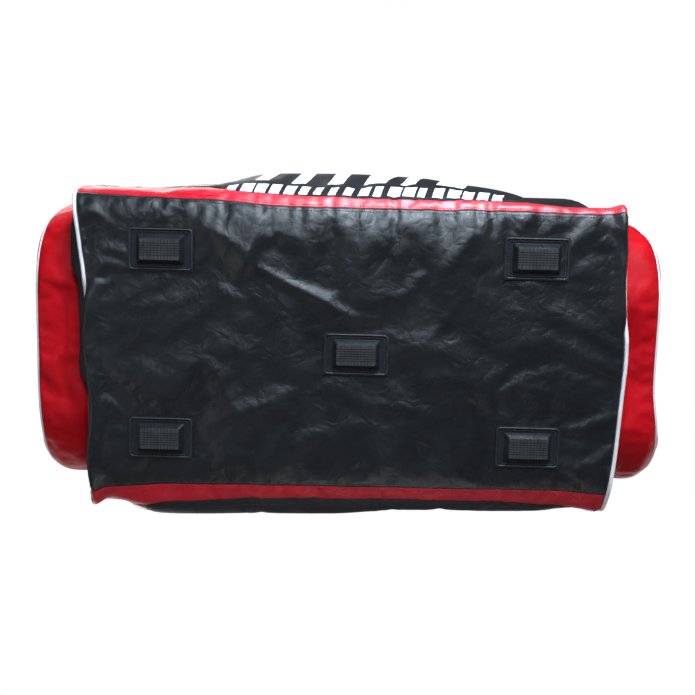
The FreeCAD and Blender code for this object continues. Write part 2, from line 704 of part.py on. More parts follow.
def make_pocket_sliders():
    """A slider on each end pocket, closed towards the front, with its puller lying towards the back."""
    tape_z = f"({POCKET_TOP_Z} - Sizes.pocket_fabric - Sizes.tape_gap)"
    slider_z = f"({tape_z} + Sizes.coil_height + Sizes.slider_gap)"
    pin_z = f"({slider_z} + Sizes.slider_plate + Sizes.pin_rise)"
    closed_y = f"(Sizes.slider_length - {POCKET_FLAT_Y})"
    for side, name in ((LEFT, "left"), (RIGHT, "right")):
        zip_x = f"{side} * {POCKET_ZIP_X}"
        make_slider(f"{name}_pocket_slider", 90, zip_x, closed_y, slider_z)
        make_puller(f"{name}_pocket_puller", 90, "Sizes.pocket_droop", zip_x, closed_y, pin_z)


# ---------------------------------------------------------------- the whole bag


def check_and_write():
    DOC.recompute()
    for part in DOC.Objects:
        if {"Invalid", "Error"} & set(part.State):
            raise SystemExit(f"{part.Label} failed to build: {part.State}")
    os.makedirs("parts", exist_ok=True)
    for part in NODES:
        shape = part.Shape
        if shape.isNull() or not shape.isValid() or not shape.Solids:
            raise SystemExit(f"{part.Label} has no valid solid")
    for part in NODES:
        part.Shape.exportStep(f"parts/{part.Label}.step")
        size = part.Shape.BoundBox
        print(
            f"{part.Label:24s} {len(part.Shape.Solids)} solid(s) {part.Shape.Volume / 1000:9.2f} cm3"
            f"  x {size.XMin:8.2f} {size.XMax:8.2f}  y {size.YMin:8.2f} {size.YMax:8.2f}"
            f"  z {size.ZMin:7.2f} {size.ZMax:7.2f}"
        )


def main():
    fill_sheet()
    make_bottom_panel()
    make_base_board()
    for side, name in ((FRONT, "front"), (BACK, "back")):
        make_side_panels(side, name)
        make_handle(side, name)
    for side, name in ((LEFT, "left"), (RIGHT, "right")):
        make_end(side, name)
        make_end_pocket(side, name)
    make_top_rim()
    make_lid_and_zip()
    make_feet()
    make_main_sliders()
    make_pocket_sliders()
    check_and_write()


main()
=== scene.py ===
"""The looks of the hockey equipment bag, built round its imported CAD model, in metres."""

import math

import bmesh
import bpy
import numpy as np
from mathutils import Matrix, Vector, noise


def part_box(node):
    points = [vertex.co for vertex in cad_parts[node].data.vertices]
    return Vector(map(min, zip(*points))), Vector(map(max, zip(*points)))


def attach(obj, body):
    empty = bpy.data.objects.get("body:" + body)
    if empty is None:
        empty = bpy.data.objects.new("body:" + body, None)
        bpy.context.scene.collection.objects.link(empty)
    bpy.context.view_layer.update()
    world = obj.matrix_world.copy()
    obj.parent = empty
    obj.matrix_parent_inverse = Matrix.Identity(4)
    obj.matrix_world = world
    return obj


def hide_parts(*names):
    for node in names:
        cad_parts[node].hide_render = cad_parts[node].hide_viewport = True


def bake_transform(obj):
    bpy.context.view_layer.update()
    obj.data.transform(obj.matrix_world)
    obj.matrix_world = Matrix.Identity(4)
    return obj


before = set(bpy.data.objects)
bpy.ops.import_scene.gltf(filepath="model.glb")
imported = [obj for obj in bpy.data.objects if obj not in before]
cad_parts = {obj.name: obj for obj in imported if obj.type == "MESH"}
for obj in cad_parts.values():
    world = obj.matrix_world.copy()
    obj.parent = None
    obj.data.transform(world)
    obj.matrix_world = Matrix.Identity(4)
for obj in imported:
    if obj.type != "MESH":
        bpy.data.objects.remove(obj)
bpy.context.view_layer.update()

MM = 0.001
SIDES = (("left", -1), ("right", 1))
FRONT, BACK = -1, 1

# ---------------------------------------------------------------- sizes, from the frame

shell_low, shell_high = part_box("bottom_panel")
band_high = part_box("back_lower_band")[1]
panel_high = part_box("back_panel")[1]
SHELL_X = shell_high.x
BASE_Z = shell_low.z
SIDE_Y = panel_high.y
HIGH_CORNER_Z = panel_high.z
TOP_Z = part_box("top_rim")[1].z
LOW_RADIUS = 50 * MM
HIGH_RADIUS = TOP_Z - HIGH_CORNER_Z
LOW_CORNER_Z = BASE_Z + LOW_RADIUS
LOW_FLAT_Y = SIDE_Y - LOW_RADIUS

BASE_RUN = LOW_FLAT_Y + LOW_RADIUS * math.asin((shell_high.y - LOW_FLAT_Y) / LOW_RADIUS)
BAND_RUN = LOW_FLAT_Y + LOW_RADIUS * math.asin((band_high.y - LOW_FLAT_Y) / LOW_RADIUS)
WALL_RUN = LOW_FLAT_Y + LOW_RADIUS * math.pi / 2 + HIGH_CORNER_Z - LOW_CORNER_Z

CLOTH = 1.6 * MM
PIPING_RADIUS = 3 * MM
FEET = ("foot_front_left", "foot_front_right", "foot_back_left", "foot_back_right", "foot_centre")
FLANGE_Z = BASE_Z - 3.2 * MM
CURVE_EASE = 18 * MM


def smooth(t):
    """A smooth step from 0 to 1 as t goes from 0 to 1."""
    t = np.clip(t, 0, 1)
    return t * t * (3 - 2 * t)


def wander(seed, *place):
    """Smooth noise from about -1 to 1."""
    x, y, z = (list(place) + [0, 0])[:3]
    return noise.noise(Vector((x + 13.7 * seed, y - 5.3 * seed, z + 2.9 * seed)))


def curve_through(points, at):
    """A softened line through (place, value) points."""
    places, values = zip(*points)
    ease = CURVE_EASE
    return sum(np.interp(at + ease * k, places, values) for k in (-1, -0.5, 0, 0.5, 1)) / 5


def new_object(name, data):
    made = bpy.data.objects.new(name, data)
    bpy.context.scene.collection.objects.link(made)
    return made


def unit(vectors):
    return vectors / np.linalg.norm(vectors, axis=1, keepdims=True)


# ---------------------------------------------------------------- camera, stage and light

CAMERA_AIM = Vector((0.002, -0.0043, 0))
CAMERA_DISTANCE = 1.3
CAMERA_TILT = math.radians(7.5)
CAMERA_YAW = math.radians(-0.34)
CAMERA_ROLL = math.radians(1.48)
CAMERA_LENS = 47.8
LAMP_AIM = Vector((0, 0, 0.1))


def make_camera():
    """A camera below the bag, a little to its front, with the front edge uppermost."""
    back = Vector((-math.sin(CAMERA_YAW), -math.sin(CAMERA_TILT), -math.cos(CAMERA_TILT))).normalized()
    right = (-back).cross(Vector((0, -1, 0))).normalized()
    up = back.cross(right)
    cos, sin = math.cos(CAMERA_ROLL), math.sin(CAMERA_ROLL)
    axes = Matrix((right * cos + up * sin, up * cos - right * sin, back)).transposed().to_4x4()
    camera = new_object("camera", bpy.data.cameras.new("camera"))
    camera.data.lens = CAMERA_LENS
    camera.matrix_world = Matrix.Translation(CAMERA_AIM + back * CAMERA_DISTANCE) @ axes
    bpy.context.scene.camera = camera


COOL, WHITE = (0.74, 0.87, 1.0), (1, 1, 1)
LAMPS = (
    # name, place, diameter, power in watts, colour
    ("low_key", (0.35, -1.6, -0.7), 0.6, 54, COOL),
    ("low_sheen", (0.05, -1.2, -1.5), 0.6, 25, COOL),
    ("low_fill", (-1.6, 0.5, -1.2), 1.0, 4, WHITE),
    ("low_right", (1.8, -0.2, -0.5), 0.8, 2.6, WHITE),
    ("low_back", (0.2, 1.7, -0.8), 0.8, 4.5, WHITE),
    ("high_key", (-1.2, -1.6, 2.2), 1.6, 60, WHITE),
    ("high_fill", (1.8, 1.2, 1.9), 2.0, 38, WHITE),
    ("high_back", (-1.4, 1.9, 1.6), 1.6, 22, WHITE),
)


def make_lights():
    """Large soft lamps that face the bag."""
    for name, place, size, power, colour in LAMPS:
        data = bpy.data.lights.new(name, "AREA")
        data.shape, data.size, data.energy, data.color = "DISK", size, power, colour
        lamp = new_object(name, data)
        lamp.rotation_mode = "QUATERNION"
        lamp.location = place
        lamp.rotation_quaternion = (LAMP_AIM - Vector(place)).to_track_quat("-Z", "Y")


def add(tree, kind, inputs=None, **settings):
    """One shader node, its settings, and its inputs as numbers or as other nodes' sockets."""
    made = tree.nodes.new("ShaderNode" + kind)
    for key, value in settings.items():
        setattr(made, key, value)
    for key, value in (inputs or {}).items():
        if isinstance(value, bpy.types.NodeSocket):
            tree.links.new(value, made.inputs[key])
        else:
            made.inputs[key].default_value = value
    return made


def calc(tree, operation, *values):
    return add(tree, "Math", dict(enumerate(values)), operation=operation).outputs[0]


def mixed(tree, share, first, second, **settings):
    """A colour between two, each an (r, g, b) or another node's socket."""
    inputs = {0: share}
    for index, colour in enumerate((first, second), 1):
        inputs[index] = colour if isinstance(colour, bpy.types.NodeSocket) else (*colour, 1)
    return add(tree, "MixRGB", inputs, **settings).outputs[0]


def make_world():
    """White to the camera, and a soft dim light to everything else."""
    world = bpy.data.worlds.new("studio")
    bpy.context.scene.world = world
    world.use_nodes = True
    tree = world.node_tree
    tree.nodes.clear()
    seen = add(tree, "LightPath").outputs["Is Camera Ray"]
    dim = add(tree, "Background", {"Color": (0.9, 0.95, 1, 1), "Strength": 0.12})
    white = add(tree, "Background", {"Color": (1, 1, 1, 1), "Strength": 1.0})
    mix = add(tree, "MixShader", {0: seen, 1: dim.outputs[0], 2: white.outputs[0]})
    add(tree, "OutputWorld", {"Surface": mix.outputs[0]})
    bpy.context.scene.view_settings.view_transform = "Standard"


FLOOR_HALF = 9.0


def make_floor():
    """A pale floor that is seen from above, and that hides nothing from below."""
    mesh = bpy.data.meshes.new("floor")
    corners = [(x * FLOOR_HALF, y * FLOOR_HALF, 0) for x, y in ((-1, -1), (1, -1), (1, 1), (-1, 1))]
    mesh.from_pydata(corners, [], [(0, 1, 2, 3)])
    floor = new_object("floor", mesh)
    material = bpy.data.materials.new("floor")
    material.use_nodes = True
    tree = material.node_tree
    tree.nodes.clear()
    grain = add(tree, "TexNoise", {"Scale": 3.0})
    tone = mixed(tree, grain.outputs[0], (0.80, 0.80, 0.80), (0.86, 0.86, 0.86))
    lit = add(tree, "BsdfDiffuse", {"Color": tone})
    even = add(tree, "Emission", {"Color": tone, "Strength": 0.95})
    pale = add(tree, "MixShader", {0: 0.62, 1: lit.outputs[0], 2: even.outputs[0]})
    behind = add(tree, "NewGeometry").outputs["Backfacing"]
    mix = add(tree, "MixShader", {0: behind, 1: pale.outputs[0], 2: add(tree, "BsdfTransparent").outputs[0]})
    add(tree, "OutputMaterial", {"Surface": mix.outputs[0]})
    mesh.materials.append(material)
    for ray in ("diffuse", "glossy", "transmission", "shadow"):
        setattr(floor, "visible_" + ray, False)


# ---------------------------------------------------------------- materials

WEAVE = "Weave"
WAVE_PERIOD = 0.314      # length of one band of a wave texture at scale 1


def start_material(name):
    material = bpy.data.materials.new(name)
    material.use_nodes = True
    tree = material.node_tree
    return material, tree, tree.nodes["Principled BSDF"]


def weave_height(tree, pitch):
    """Threads that cross at the pitch, along the cloth's own two directions."""
    along = add(tree, "UVMap", uv_map=WEAVE).outputs[0]
    scale = WAVE_PERIOD / pitch
    waves = [
        add(tree, "TexWave", {"Vector": along, "Scale": scale}, bands_direction=way).outputs["Fac"]
        for way in ("X", "Y")
    ]
    return calc(tree, "MULTIPLY", *waves)


def spots(tree, scale, detail=4.0):
    place = add(tree, "TexCoord").outputs["Object"]
    return add(tree, "TexNoise", {"Vector": place, "Scale": scale, "Detail": detail}).outputs["Fac"]


def place_in(tree):
    """A point's X, Y and Z in its object's own frame, which is the part's."""
    return add(tree, "SeparateXYZ", {0: add(tree, "TexCoord").outputs["Object"]}).outputs


def spread(tree, value, low, high, source=(0.3, 0.7)):
    """value, from source's range to low..high."""
    return add(tree, "MapRange", {0: value, 1: source[0], 2: source[1], 3: low, 4: high}).outputs[0]


def creases(tree, scale):
    """Thin sharp lines, as in a coated cloth that has been folded up."""
    place = add(tree, "TexCoord").outputs["Object"]
    bent = add(tree, "TexNoise", {"Vector": place, "Scale": scale * 0.6, "Detail": 2.0}).outputs["Color"]
    moved = mixed(tree, 0.06, place, bent)
    cells = add(tree, "TexVoronoi", {"Vector": moved, "Scale": scale}, feature="DISTANCE_TO_EDGE")
    return spread(tree, cells.outputs["Distance"], 0.0, 1.0, (0.0, 0.35))


def woven(name, dark, light, rough=(0.4, 0.55), pitch=0.9 * MM, crumple=0.5 * MM, sheen=0.0, coat=0.0,
          weave=0.10 * MM, shine=0.5, creased=0.0):
    """A woven fabric, with its tree and its colour: uneven gloss, small crumples, creases and threads."""
    material, tree, surface = start_material(name)
    threads = weave_height(tree, pitch)
    broad, fine = spots(tree, 14.0), spots(tree, 120.0)
    tone = mixed(tree, spread(tree, broad, 0, 1), dark, light)
    shaded = mixed(tree, 0.35, tone, spread(tree, threads, 0.55, 1.25, (0, 1)), blend_type="MULTIPLY")
    wear = mixed(tree, spread(tree, fine, 0, 0.25), shaded, light)
    tree.links.new(wear, surface.inputs["Base Color"])
    gloss = spread(tree, spots(tree, 26.0), rough[0], rough[1])
    tree.links.new(gloss, surface.inputs["Roughness"])
    lumps = add(tree, "Bump", {"Height": spots(tree, 75.0, 3.0), "Distance": crumple, "Strength": 1.0})
    if creased:
        lumps = add(tree, "Bump", {"Height": creases(tree, 42.0), "Distance": creased, "Strength": 1.0,
                                   "Normal": lumps.outputs[0]})
    bump = add(tree, "Bump", {"Height": threads, "Distance": weave, "Strength": 0.8,
                              "Normal": lumps.outputs[0]})
    tree.links.new(bump.outputs[0], surface.inputs["Normal"])
    for socket, value in (("Sheen Weight", sheen), ("Sheen Roughness", 0.4), ("Specular IOR Level", shine),
                          ("Coat Weight", coat), ("Coat Roughness", 0.35)):
        surface.inputs[socket].default_value = value
    return material, tree, wear


def cloth(*looks, **options):
    return woven(*looks, **options)[0]


BAR_LEAN = -0.35


def slanted_bars(tree, x, z, pitch, low, high, left, right, gap):
    """1 inside a row of leaning bars of uneven width, from number left to number right, and 0 outside."""
    steps = calc(tree, "DIVIDE", calc(tree, "MULTIPLY_ADD", z, BAR_LEAN, x), pitch)
    number = calc(tree, "FLOOR", steps)
    chance = add(tree, "TexWhiteNoise", {"W": number}, noise_dimensions="1D").outputs["Value"]
    width = spread(tree, chance, gap - 0.25, gap + 0.15, (0, 1))
    bar = calc(tree, "LESS_THAN", calc(tree, "FRACT", steps), width)
    for value, limit, test in ((z, low, "GREATER_THAN"), (z, high, "LESS_THAN"),
                               (number, left, "GREATER_THAN"), (number, right, "LESS_THAN")):
        bar = calc(tree, "MULTIPLY", bar, calc(tree, test, value, limit))
    return bar


def printed_cloth(name, *tones, **options):
    """The black cloth of the front panel with a generic print: two rows of leaning white bars."""
    material, tree, ground = woven(name, *tones, **options)
    surface = tree.nodes["Principled BSDF"]
    place = place_in(tree)
    rows = (
        slanted_bars(tree, place["X"], place["Z"], 21 * MM, 29 * MM, 45 * MM, -9.5, 9.5, 0.74),
        slanted_bars(tree, place["X"], place["Z"], 52 * MM, 54 * MM, 118 * MM, -3.5, 2.5, 0.62),
    )
    worn = spread(tree, spots(tree, 90.0), 0.55, 1.0, (0.3, 0.45))
    ink = calc(tree, "MULTIPLY", calc(tree, "MAXIMUM", *rows), worn)
    tree.links.new(mixed(tree, ink, ground, (0.82, 0.82, 0.83)), surface.inputs["Base Color"])
    return material


def worn_satin():
    """The front band's red satin, which has lost its gloss towards its left end."""
    material, tree, _ = woven("red_satin", (0.50, 0.004, 0.014), (0.70, 0.012, 0.034), rough=(0.40, 0.5),
                              crumple=0.6 * MM, sheen=0.06)
    surface = tree.nodes["Principled BSDF"]
    worn_to, glossy_from = -0.21, -0.12
    x = place_in(tree)["X"]
    for socket, worn, fresh in (("Coat Weight", 0.02, 0.6), ("Specular IOR Level", 0.12, 0.5)):
        tree.links.new(spread(tree, x, worn, fresh, (worn_to, glossy_from)), surface.inputs[socket])
    return material


def mottled(name, dark, light, rough, tone_scale, gloss_scale):
    """A surface of uneven tone and gloss."""
    material, tree, surface = start_material(name)
    shade = spread(tree, spots(tree, tone_scale), 0, 1)
    tree.links.new(mixed(tree, shade, dark, light), surface.inputs["Base Color"])
    tree.links.new(spread(tree, spots(tree, gloss_scale), *rough), surface.inputs["Roughness"])
    return material, tree, surface


def moulded_plastic(name, tone, rough):
    material, tree, surface = mottled(name, tone, [1.7 * c for c in tone], rough, 40.0, 90.0)
    grain = add(tree, "Bump", {"Height": spots(tree, 900.0, 2.0), "Distance": 0.06 * MM, "Strength": 0.5})
    tree.links.new(grain.outputs[0], surface.inputs["Normal"])
    return material


FOOT_BLACK = (0.009, 0.010, 0.012)


def foot_plastic():
    """Black plastic, paler on the ridges that touch the ground: scuffing, and a painted highlight on the
    ridges.
    """
    material = moulded_plastic("foot_plastic", FOOT_BLACK, (0.24, 0.36))
    tree = material.node_tree
    surface = tree.nodes["Principled BSDF"]
    # Painted highlight and wear: the lowest millimetre of each foot, its ridges, is painted paler.
    ridge_scuff_and_highlight = spread(tree, place_in(tree)["Z"], 1.0, 0.0, (0.1 * MM, 1.0 * MM))
    patches = spread(tree, spots(tree, 55.0), 0.45, 1.0)
    fresh = surface.inputs["Base Color"].links[0].from_socket
    # The pale colour mixed in here is scuffing and a painted highlight on the ridges together.
    worn = mixed(tree, calc(tree, "MULTIPLY", ridge_scuff_and_highlight, patches), fresh, (0.05, 0.049, 0.047))
    tree.links.new(worn, surface.inputs["Base Color"])
    return material


def brushed_metal(name):
    material, _, surface = mottled(name, (0.30, 0.30, 0.31), (0.46, 0.46, 0.48), (0.22, 0.42), 60.0, 400.0)
    surface.inputs["Metallic"].default_value = 1.0
    return material


def make_materials():
    black = (0.009, 0.0095, 0.011), (0.014, 0.015, 0.017)
    return {
        "base": cloth("coated_black", (0.0036, 0.0041, 0.0053), (0.0066, 0.0075, 0.0095), rough=(0.29, 0.42),
                      crumple=0.6 * MM, coat=0.12, shine=0.46, creased=0.4 * MM),
        "black": cloth("black_polyester", *black, rough=(0.42, 0.6), shine=0.32),
        "printed": printed_cloth("printed_black_polyester", *black, rough=(0.45, 0.6), shine=0.18),
        "red": cloth("red_polyester", (0.38, 0.0012, 0.005), (0.56, 0.003, 0.010), rough=(0.45, 0.6),
                     crumple=0.9 * MM, shine=0.12),
        "band": worn_satin(),
        "back_band": cloth("red_band", (0.46, 0.003, 0.012), (0.64, 0.008, 0.024), rough=(0.45, 0.6),
                           crumple=0.6 * MM, coat=0.1, shine=0.3),
        "piping": cloth("white_piping", (0.62, 0.56, 0.57), (0.80, 0.77, 0.77), rough=(0.5, 0.7),
                        pitch=0.7 * MM, crumple=0.2 * MM),
        "webbing": cloth("black_webbing", (0.006, 0.006, 0.007), (0.016, 0.016, 0.018), rough=(0.55, 0.75),
                         pitch=2.2 * MM, weave=0.45 * MM, crumple=0.2 * MM, sheen=0.05, shine=0.3),
        "tape": cloth("zip_tape", (0.010, 0.010, 0.011), (0.022, 0.022, 0.024), rough=(0.55, 0.7),
                      pitch=0.8 * MM, crumple=0.1 * MM),
        "grip": cloth("grip_leatherette", (0.006, 0.006, 0.007), (0.013, 0.013, 0.014), rough=(0.42, 0.55),
                      pitch=1.6 * MM, crumple=0.4 * MM, shine=0.3),
        "thread": cloth("thread", (0.02, 0.02, 0.022), (0.05, 0.05, 0.054), rough=(0.5, 0.7), pitch=0.5 * MM,
                        crumple=0.05 * MM),
        "red_thread": cloth("red_thread", (0.35, 0.005, 0.015), (0.6, 0.02, 0.04), rough=(0.5, 0.7),
                            pitch=0.5 * MM, crumple=0.05 * MM),
        "coil": moulded_plastic("zip_coil", (0.012, 0.012, 0.013), (0.3, 0.45)),
        "foot": foot_plastic(),
        "foot_frame": moulded_plastic("foot_frame", FOOT_BLACK, (0.45, 0.6)),
        "board": moulded_plastic("stiffener", (0.03, 0.03, 0.032), (0.5, 0.7)),
        "metal": brushed_metal("slider_metal"),
    }


# ---------------------------------------------------------------- mesh helpers


def new_piece(name, material, points, faces, uv=None):
    """A mesh object with smooth faces, and its cloth directions in the weave map."""
    mesh = bpy.data.meshes.new(name)
    mesh.from_pydata([tuple(p) for p in points], [], faces)
    mesh.update()
    mesh.polygons.foreach_set("use_smooth", [True] * len(mesh.polygons))
    layer = mesh.uv_layers.new(name=WEAVE)
    if uv is not None:
        corners = np.zeros(len(mesh.loops), int)
        mesh.loops.foreach_get("vertex_index", corners)
        layer.data.foreach_set("uv", np.asarray(uv)[corners].ravel())
    mesh.materials.append(material)
    face_outwards(mesh)
    return new_object(name, mesh)


def face_outwards(mesh):
    """Turns every face of a closed mesh outwards, and leaves an open sheet as it is."""
    work = bmesh.new()
    work.from_mesh(mesh)
    if all(edge.is_manifold for edge in work.edges):
        bmesh.ops.recalc_face_normals(work, faces=work.faces)
        work.to_mesh(mesh)
    work.free()


def grid_faces(rows, columns, flip=False, keep=None, wrap=False):
    """Four-sided faces over rows by columns of points. wrap joins the last column to the first."""
    faces = []
    for r in range(rows - 1):
        for c in range(columns if wrap else columns - 1):
            if keep is not None and not keep(r, c):
                continue
            d = (c + 1) % columns
            corners = [r * columns + c, r * columns + d, (r + 1) * columns + d, (r + 1) * columns + c]
            faces.append(corners[::-1] if flip else corners)
    return faces


def grid_uv(points):
    """The distance along each row and each column, in metres."""
    across = np.zeros(points.shape[:2])
    along = np.zeros(points.shape[:2])
    across[:, 1:] = np.cumsum(np.linalg.norm(np.diff(points, axis=1), axis=2), axis=1)
    along[1:, :] = np.cumsum(np.linalg.norm(np.diff(points, axis=0), axis=2), axis=0)
    return np.stack([across, along], -1).reshape(-1, 2)


def grid_normals(points, flip=False):
    """The unit normal at each point of a grid."""
    normal = np.cross(np.gradient(points, axis=1), np.gradient(points, axis=0))
    normal /= np.maximum(np.linalg.norm(normal, axis=2, keepdims=True), 1e-12)
    return -normal if flip else normal


def sheet_mesh(points, flip=False, keep=None):
    """A grid of points as (points, faces, uv)."""
    return points.reshape(-1, 3), grid_faces(*points.shape[:2], flip, keep), grid_uv(points)


def bar_mesh(rings):
    """Rings of points as a closed bar's (points, faces, uv)."""
    count, sides = rings.shape[:2]
    faces = grid_faces(count, sides, wrap=True)
    faces += [list(range(sides))[::-1], [(count - 1) * sides + k for k in range(sides)]]
    return rings.reshape(-1, 3), faces, grid_uv(rings)


def round_mesh(piece):
    rounded = piece.modifiers.new("rounding", "SUBSURF")
    rounded.levels = rounded.render_levels = 1


def thicken(piece, thickness=CLOTH, rounded=True):
    """Gives a cloth surface its thickness, inwards, and rounds its mesh."""
    solid = piece.modifiers.new("thickness", "SOLIDIFY")
    solid.thickness, solid.offset = thickness, -1
    if rounded:
        round_mesh(piece)
    return piece


def settle(piece, body, slot, *nodes):
    """Puts a piece on its body, and hides the parts of the model that it stands in for."""
    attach(piece, body)
    if nodes:
        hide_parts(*nodes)


def bend(piece, body, start, end, slot, *nodes):
    """Bakes a piece's place into its mesh, and hides the parts of the model that it stands in for."""
    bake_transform(piece)
    if nodes:
        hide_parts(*nodes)


def joined(meshes):
    """Several (points, faces) or (points, faces, uv) meshes as one."""
    points, faces, uvs = [], [], []
    for some_points, some_faces, *some_uv in meshes:
        start = len(points)
        points += [tuple(p) for p in some_points]
        faces += [[start + k for k in face] for face in some_faces]
        uvs += [tuple(p) for uv in some_uv for p in uv]
    return (points, faces, uvs) if uvs else (points, faces)


def tube(path, radius, closed, sides=10):
    """A round cord along a path, as (points, faces, uv)."""
    path = np.asarray(path, float)
    count = len(path)
    if closed:
        tangent = unit(np.roll(path, -1, 0) - np.roll(path, 1, 0))
    else:
        tangent = unit(np.gradient(path, axis=0))
    guide = np.array((1.0, 0, 0)) if abs(tangent[:, 0]).max() < 0.9 else np.array((0, 0, 1.0))
    first = unit(np.cross(tangent, guide))
    second = np.cross(tangent, first)
    turns = np.linspace(0, 2 * math.pi, sides, endpoint=False)
    ring = path[:, None] + radius * (
        first[:, None] * np.cos(turns)[None, :, None] + second[:, None] * np.sin(turns)[None, :, None]
    )
    if not closed:
        return bar_mesh(ring)
    faces, last = grid_faces(count, sides, wrap=True), (count - 1) * sides
    faces += [[last + k, last + (k + 1) % sides, (k + 1) % sides, k] for k in range(sides)]
    return ring.reshape(-1, 3), faces, grid_uv(ring)


def resampled(rows, runs, count, endpoint=True):
    """count rows at even distances, from rows whose distances along their line are runs."""
    at = np.linspace(0, runs[-1], count, endpoint=endpoint)
    return np.stack([np.interp(at, runs, column) for column in rows.T], 1)


def evenly(path, pitch):
    """Points at an even pitch along a path."""
    path = np.asarray(path, float)
    runs = np.concatenate([[0], np.cumsum(np.linalg.norm(np.diff(path, axis=0), axis=1))])
    return resampled(path, runs, max(2, int(runs[-1] / pitch)) + 1)


CORNER_STEPS = 24


def outline_rows(dense, count, endpoint=True):
    """count rows at even distances along an outline, from closer (place, place, outward, outward) rows."""
    dense = np.array(dense)
    runs = np.concatenate([[0], np.cumsum(np.hypot(*np.diff(dense[:, :2], axis=0).T))])
    return resampled(dense, runs, count, endpoint)


def beads(path, pitch, half_length, half_width, half_height, outward, turn=0.0):
    """Small rounded bars along a path, such as stitches or the turns of a zip's coil, as (points, faces)."""
    points = evenly(path, pitch)
    middles = (points[1:] + points[:-1]) / 2
    ways = unit(points[1:] - points[:-1])
    parts = []
    for middle, way in zip(middles, ways):
        up = np.array(outward, float)
        up -= way * up.dot(way)
        up /= np.linalg.norm(up)
        side = np.cross(way, up)
        long = way * math.cos(turn) + side * math.sin(turn)
        wide = np.cross(long, up)
        corners = [-long * half_length, long * half_length]
        for place in (-0.45, 0.45):
            for angle in (0.25, 0.75, 1.25, 1.75):
                corners.append(
                    long * place * half_length
                    + wide * half_width * math.cos(angle * math.pi)
                    + up * half_height * math.sin(angle * math.pi)
                )
        sides = [(2, 3, 7, 6), (3, 4, 8, 7), (4, 5, 9, 8), (5, 2, 6, 9)]
        ends = [(0, 3, 2), (0, 4, 3), (0, 5, 4), (0, 2, 5), (1, 6, 7), (1, 7, 8), (1, 8, 9), (1, 9, 6)]
        parts.append(([middle + corner for corner in corners], sides + ends))
    return joined(parts)


def stitching(path, outward, height=0.42 * MM, pitch=4.4 * MM, half_length=1.7 * MM, half_width=0.42 * MM):
    """A line of stitches along a path. height is half of each stitch's thickness."""
    return beads(path, pitch, half_length, half_width, height, outward)


# ---------------------------------------------------------------- the soft shell's shape


def in_mm(*points):
    """(metres along, millimetres) pairs, all in metres."""
    return [(place, value * MM) for place, value in points]


# Each curve has (place along the bag, value) points. The seams and bands say how far up the
# wall each seam is moved. The edges, with places across the bag, say how far out each piping runs. The lean
# and the spread say how far the lower corners slump to the back, and the bellies how far a panel swells.
FRONT_SEAM = in_mm((-0.38, 11), (-0.30, 4), (-0.19, 0), (-0.14, -3), (-0.10, -8), (0.05, -8), (0.2, -6),
                   (0.38, -8))
FRONT_BAND = in_mm((-0.38, 26), (-0.3, 27), (-0.21, 18), (-0.165, -5), (-0.1, -11), (0.06, -15), (0.2, -11),
                   (0.3, -8), (0.34, 2), (0.38, 4))
BACK_SEAM = in_mm((-0.38, 8), (-0.25, 1), (0.0, -3), (0.3, -6), (0.38, -2))
BACK_BAND = in_mm((-0.38, 24), (-0.33, 21), (-0.28, 4), (-0.1, -4), (0.05, -5), (0.25, -4), (0.34, 4),
                  (0.38, 12))
LEFT_EDGE = ((-0.23, 0.390), (-0.2, 0.388), (-0.09, 0.373), (0.0, 0.375), (0.09, 0.368), (0.18, 0.372),
             (0.23, 0.369))
RIGHT_EDGE = ((-0.23, 0.387), (-0.1, 0.393), (0.0, 0.400), (0.145, 0.392), (0.23, 0.384))
FRONT_LEAN = in_mm((-0.38, 7), (-0.3, 9), (-0.2, 5), (-0.14, 0), (0.12, 0), (0.24, 8.5), (0.28, 20),
                   (0.31, 30), (0.34, 28), (0.38, 25))
BACK_SPREAD = in_mm((-0.38, 16), (-0.32, 8), (-0.26, 0), (0.3, 0), (0.38, 11))
FRONT_BELLY = in_mm((-0.31, 0), (-0.2, 2), (-0.165, 7), (-0.12, 12), (0.0, 14.5), (0.1, 12.5), (0.2, 8),
                    (0.27, 2), (0.3, 0))
BACK_BELLY = in_mm((-0.34, 0), (-0.32, 8), (-0.29, 28), (-0.26, 33), (-0.2, 31), (-0.1, 27), (0.0, 24),
                   (0.1, 16), (0.24, 14), (0.3, 13), (0.335, 0))
LOW_EDGE_Z = 22 * MM
EDGE_FADE = 70 * MM
TUCK_LIFT = 10 * MM


def half_section(run):
    """(y, z, and the outward direction's y and z) at a run from the base's middle, up one side."""
    if run < LOW_FLAT_Y:
        return run, BASE_Z, 0.0, -1.0
    turn = (run - LOW_FLAT_Y) / LOW_RADIUS
    if turn < math.pi / 2:
        sin, cos = math.sin(turn), math.cos(turn)
        return LOW_FLAT_Y + LOW_RADIUS * sin, LOW_CORNER_Z - LOW_RADIUS * cos, sin, -cos
    wall = LOW_CORNER_Z + run - LOW_FLAT_Y - LOW_RADIUS * math.pi / 2
    if wall < HIGH_CORNER_Z:
        return SIDE_Y, wall, 1.0, 0.0
    turn = min((wall - HIGH_CORNER_Z) / HIGH_RADIUS, math.pi / 2)
    sin, cos = math.sin(turn), math.cos(turn)
    return SIDE_Y - HIGH_RADIUS + HIGH_RADIUS * cos, HIGH_CORNER_Z + HIGH_RADIUS * sin, cos, sin


def low_part(z):
    """1 at the base, fading to 0 up the walls."""
    return 1 - smooth((z - LOW_EDGE_Z) / EDGE_FADE)


def low_edge_x(side, y):
    """How far from the middle the piping at one end runs, along the base's edge."""
    return curve_through(LEFT_EDGE if side < 0 else RIGHT_EDGE, y)


def edge_x(side, y, z):
    """How far from the middle the piping at one end runs."""
    usual = SHELL_X + PIPING_RADIUS
    low = low_edge_x(side, y)
    return usual + (low - usual) * low_part(z) + 0.8 * MM * wander(side + 4, y * 14, z * 14)


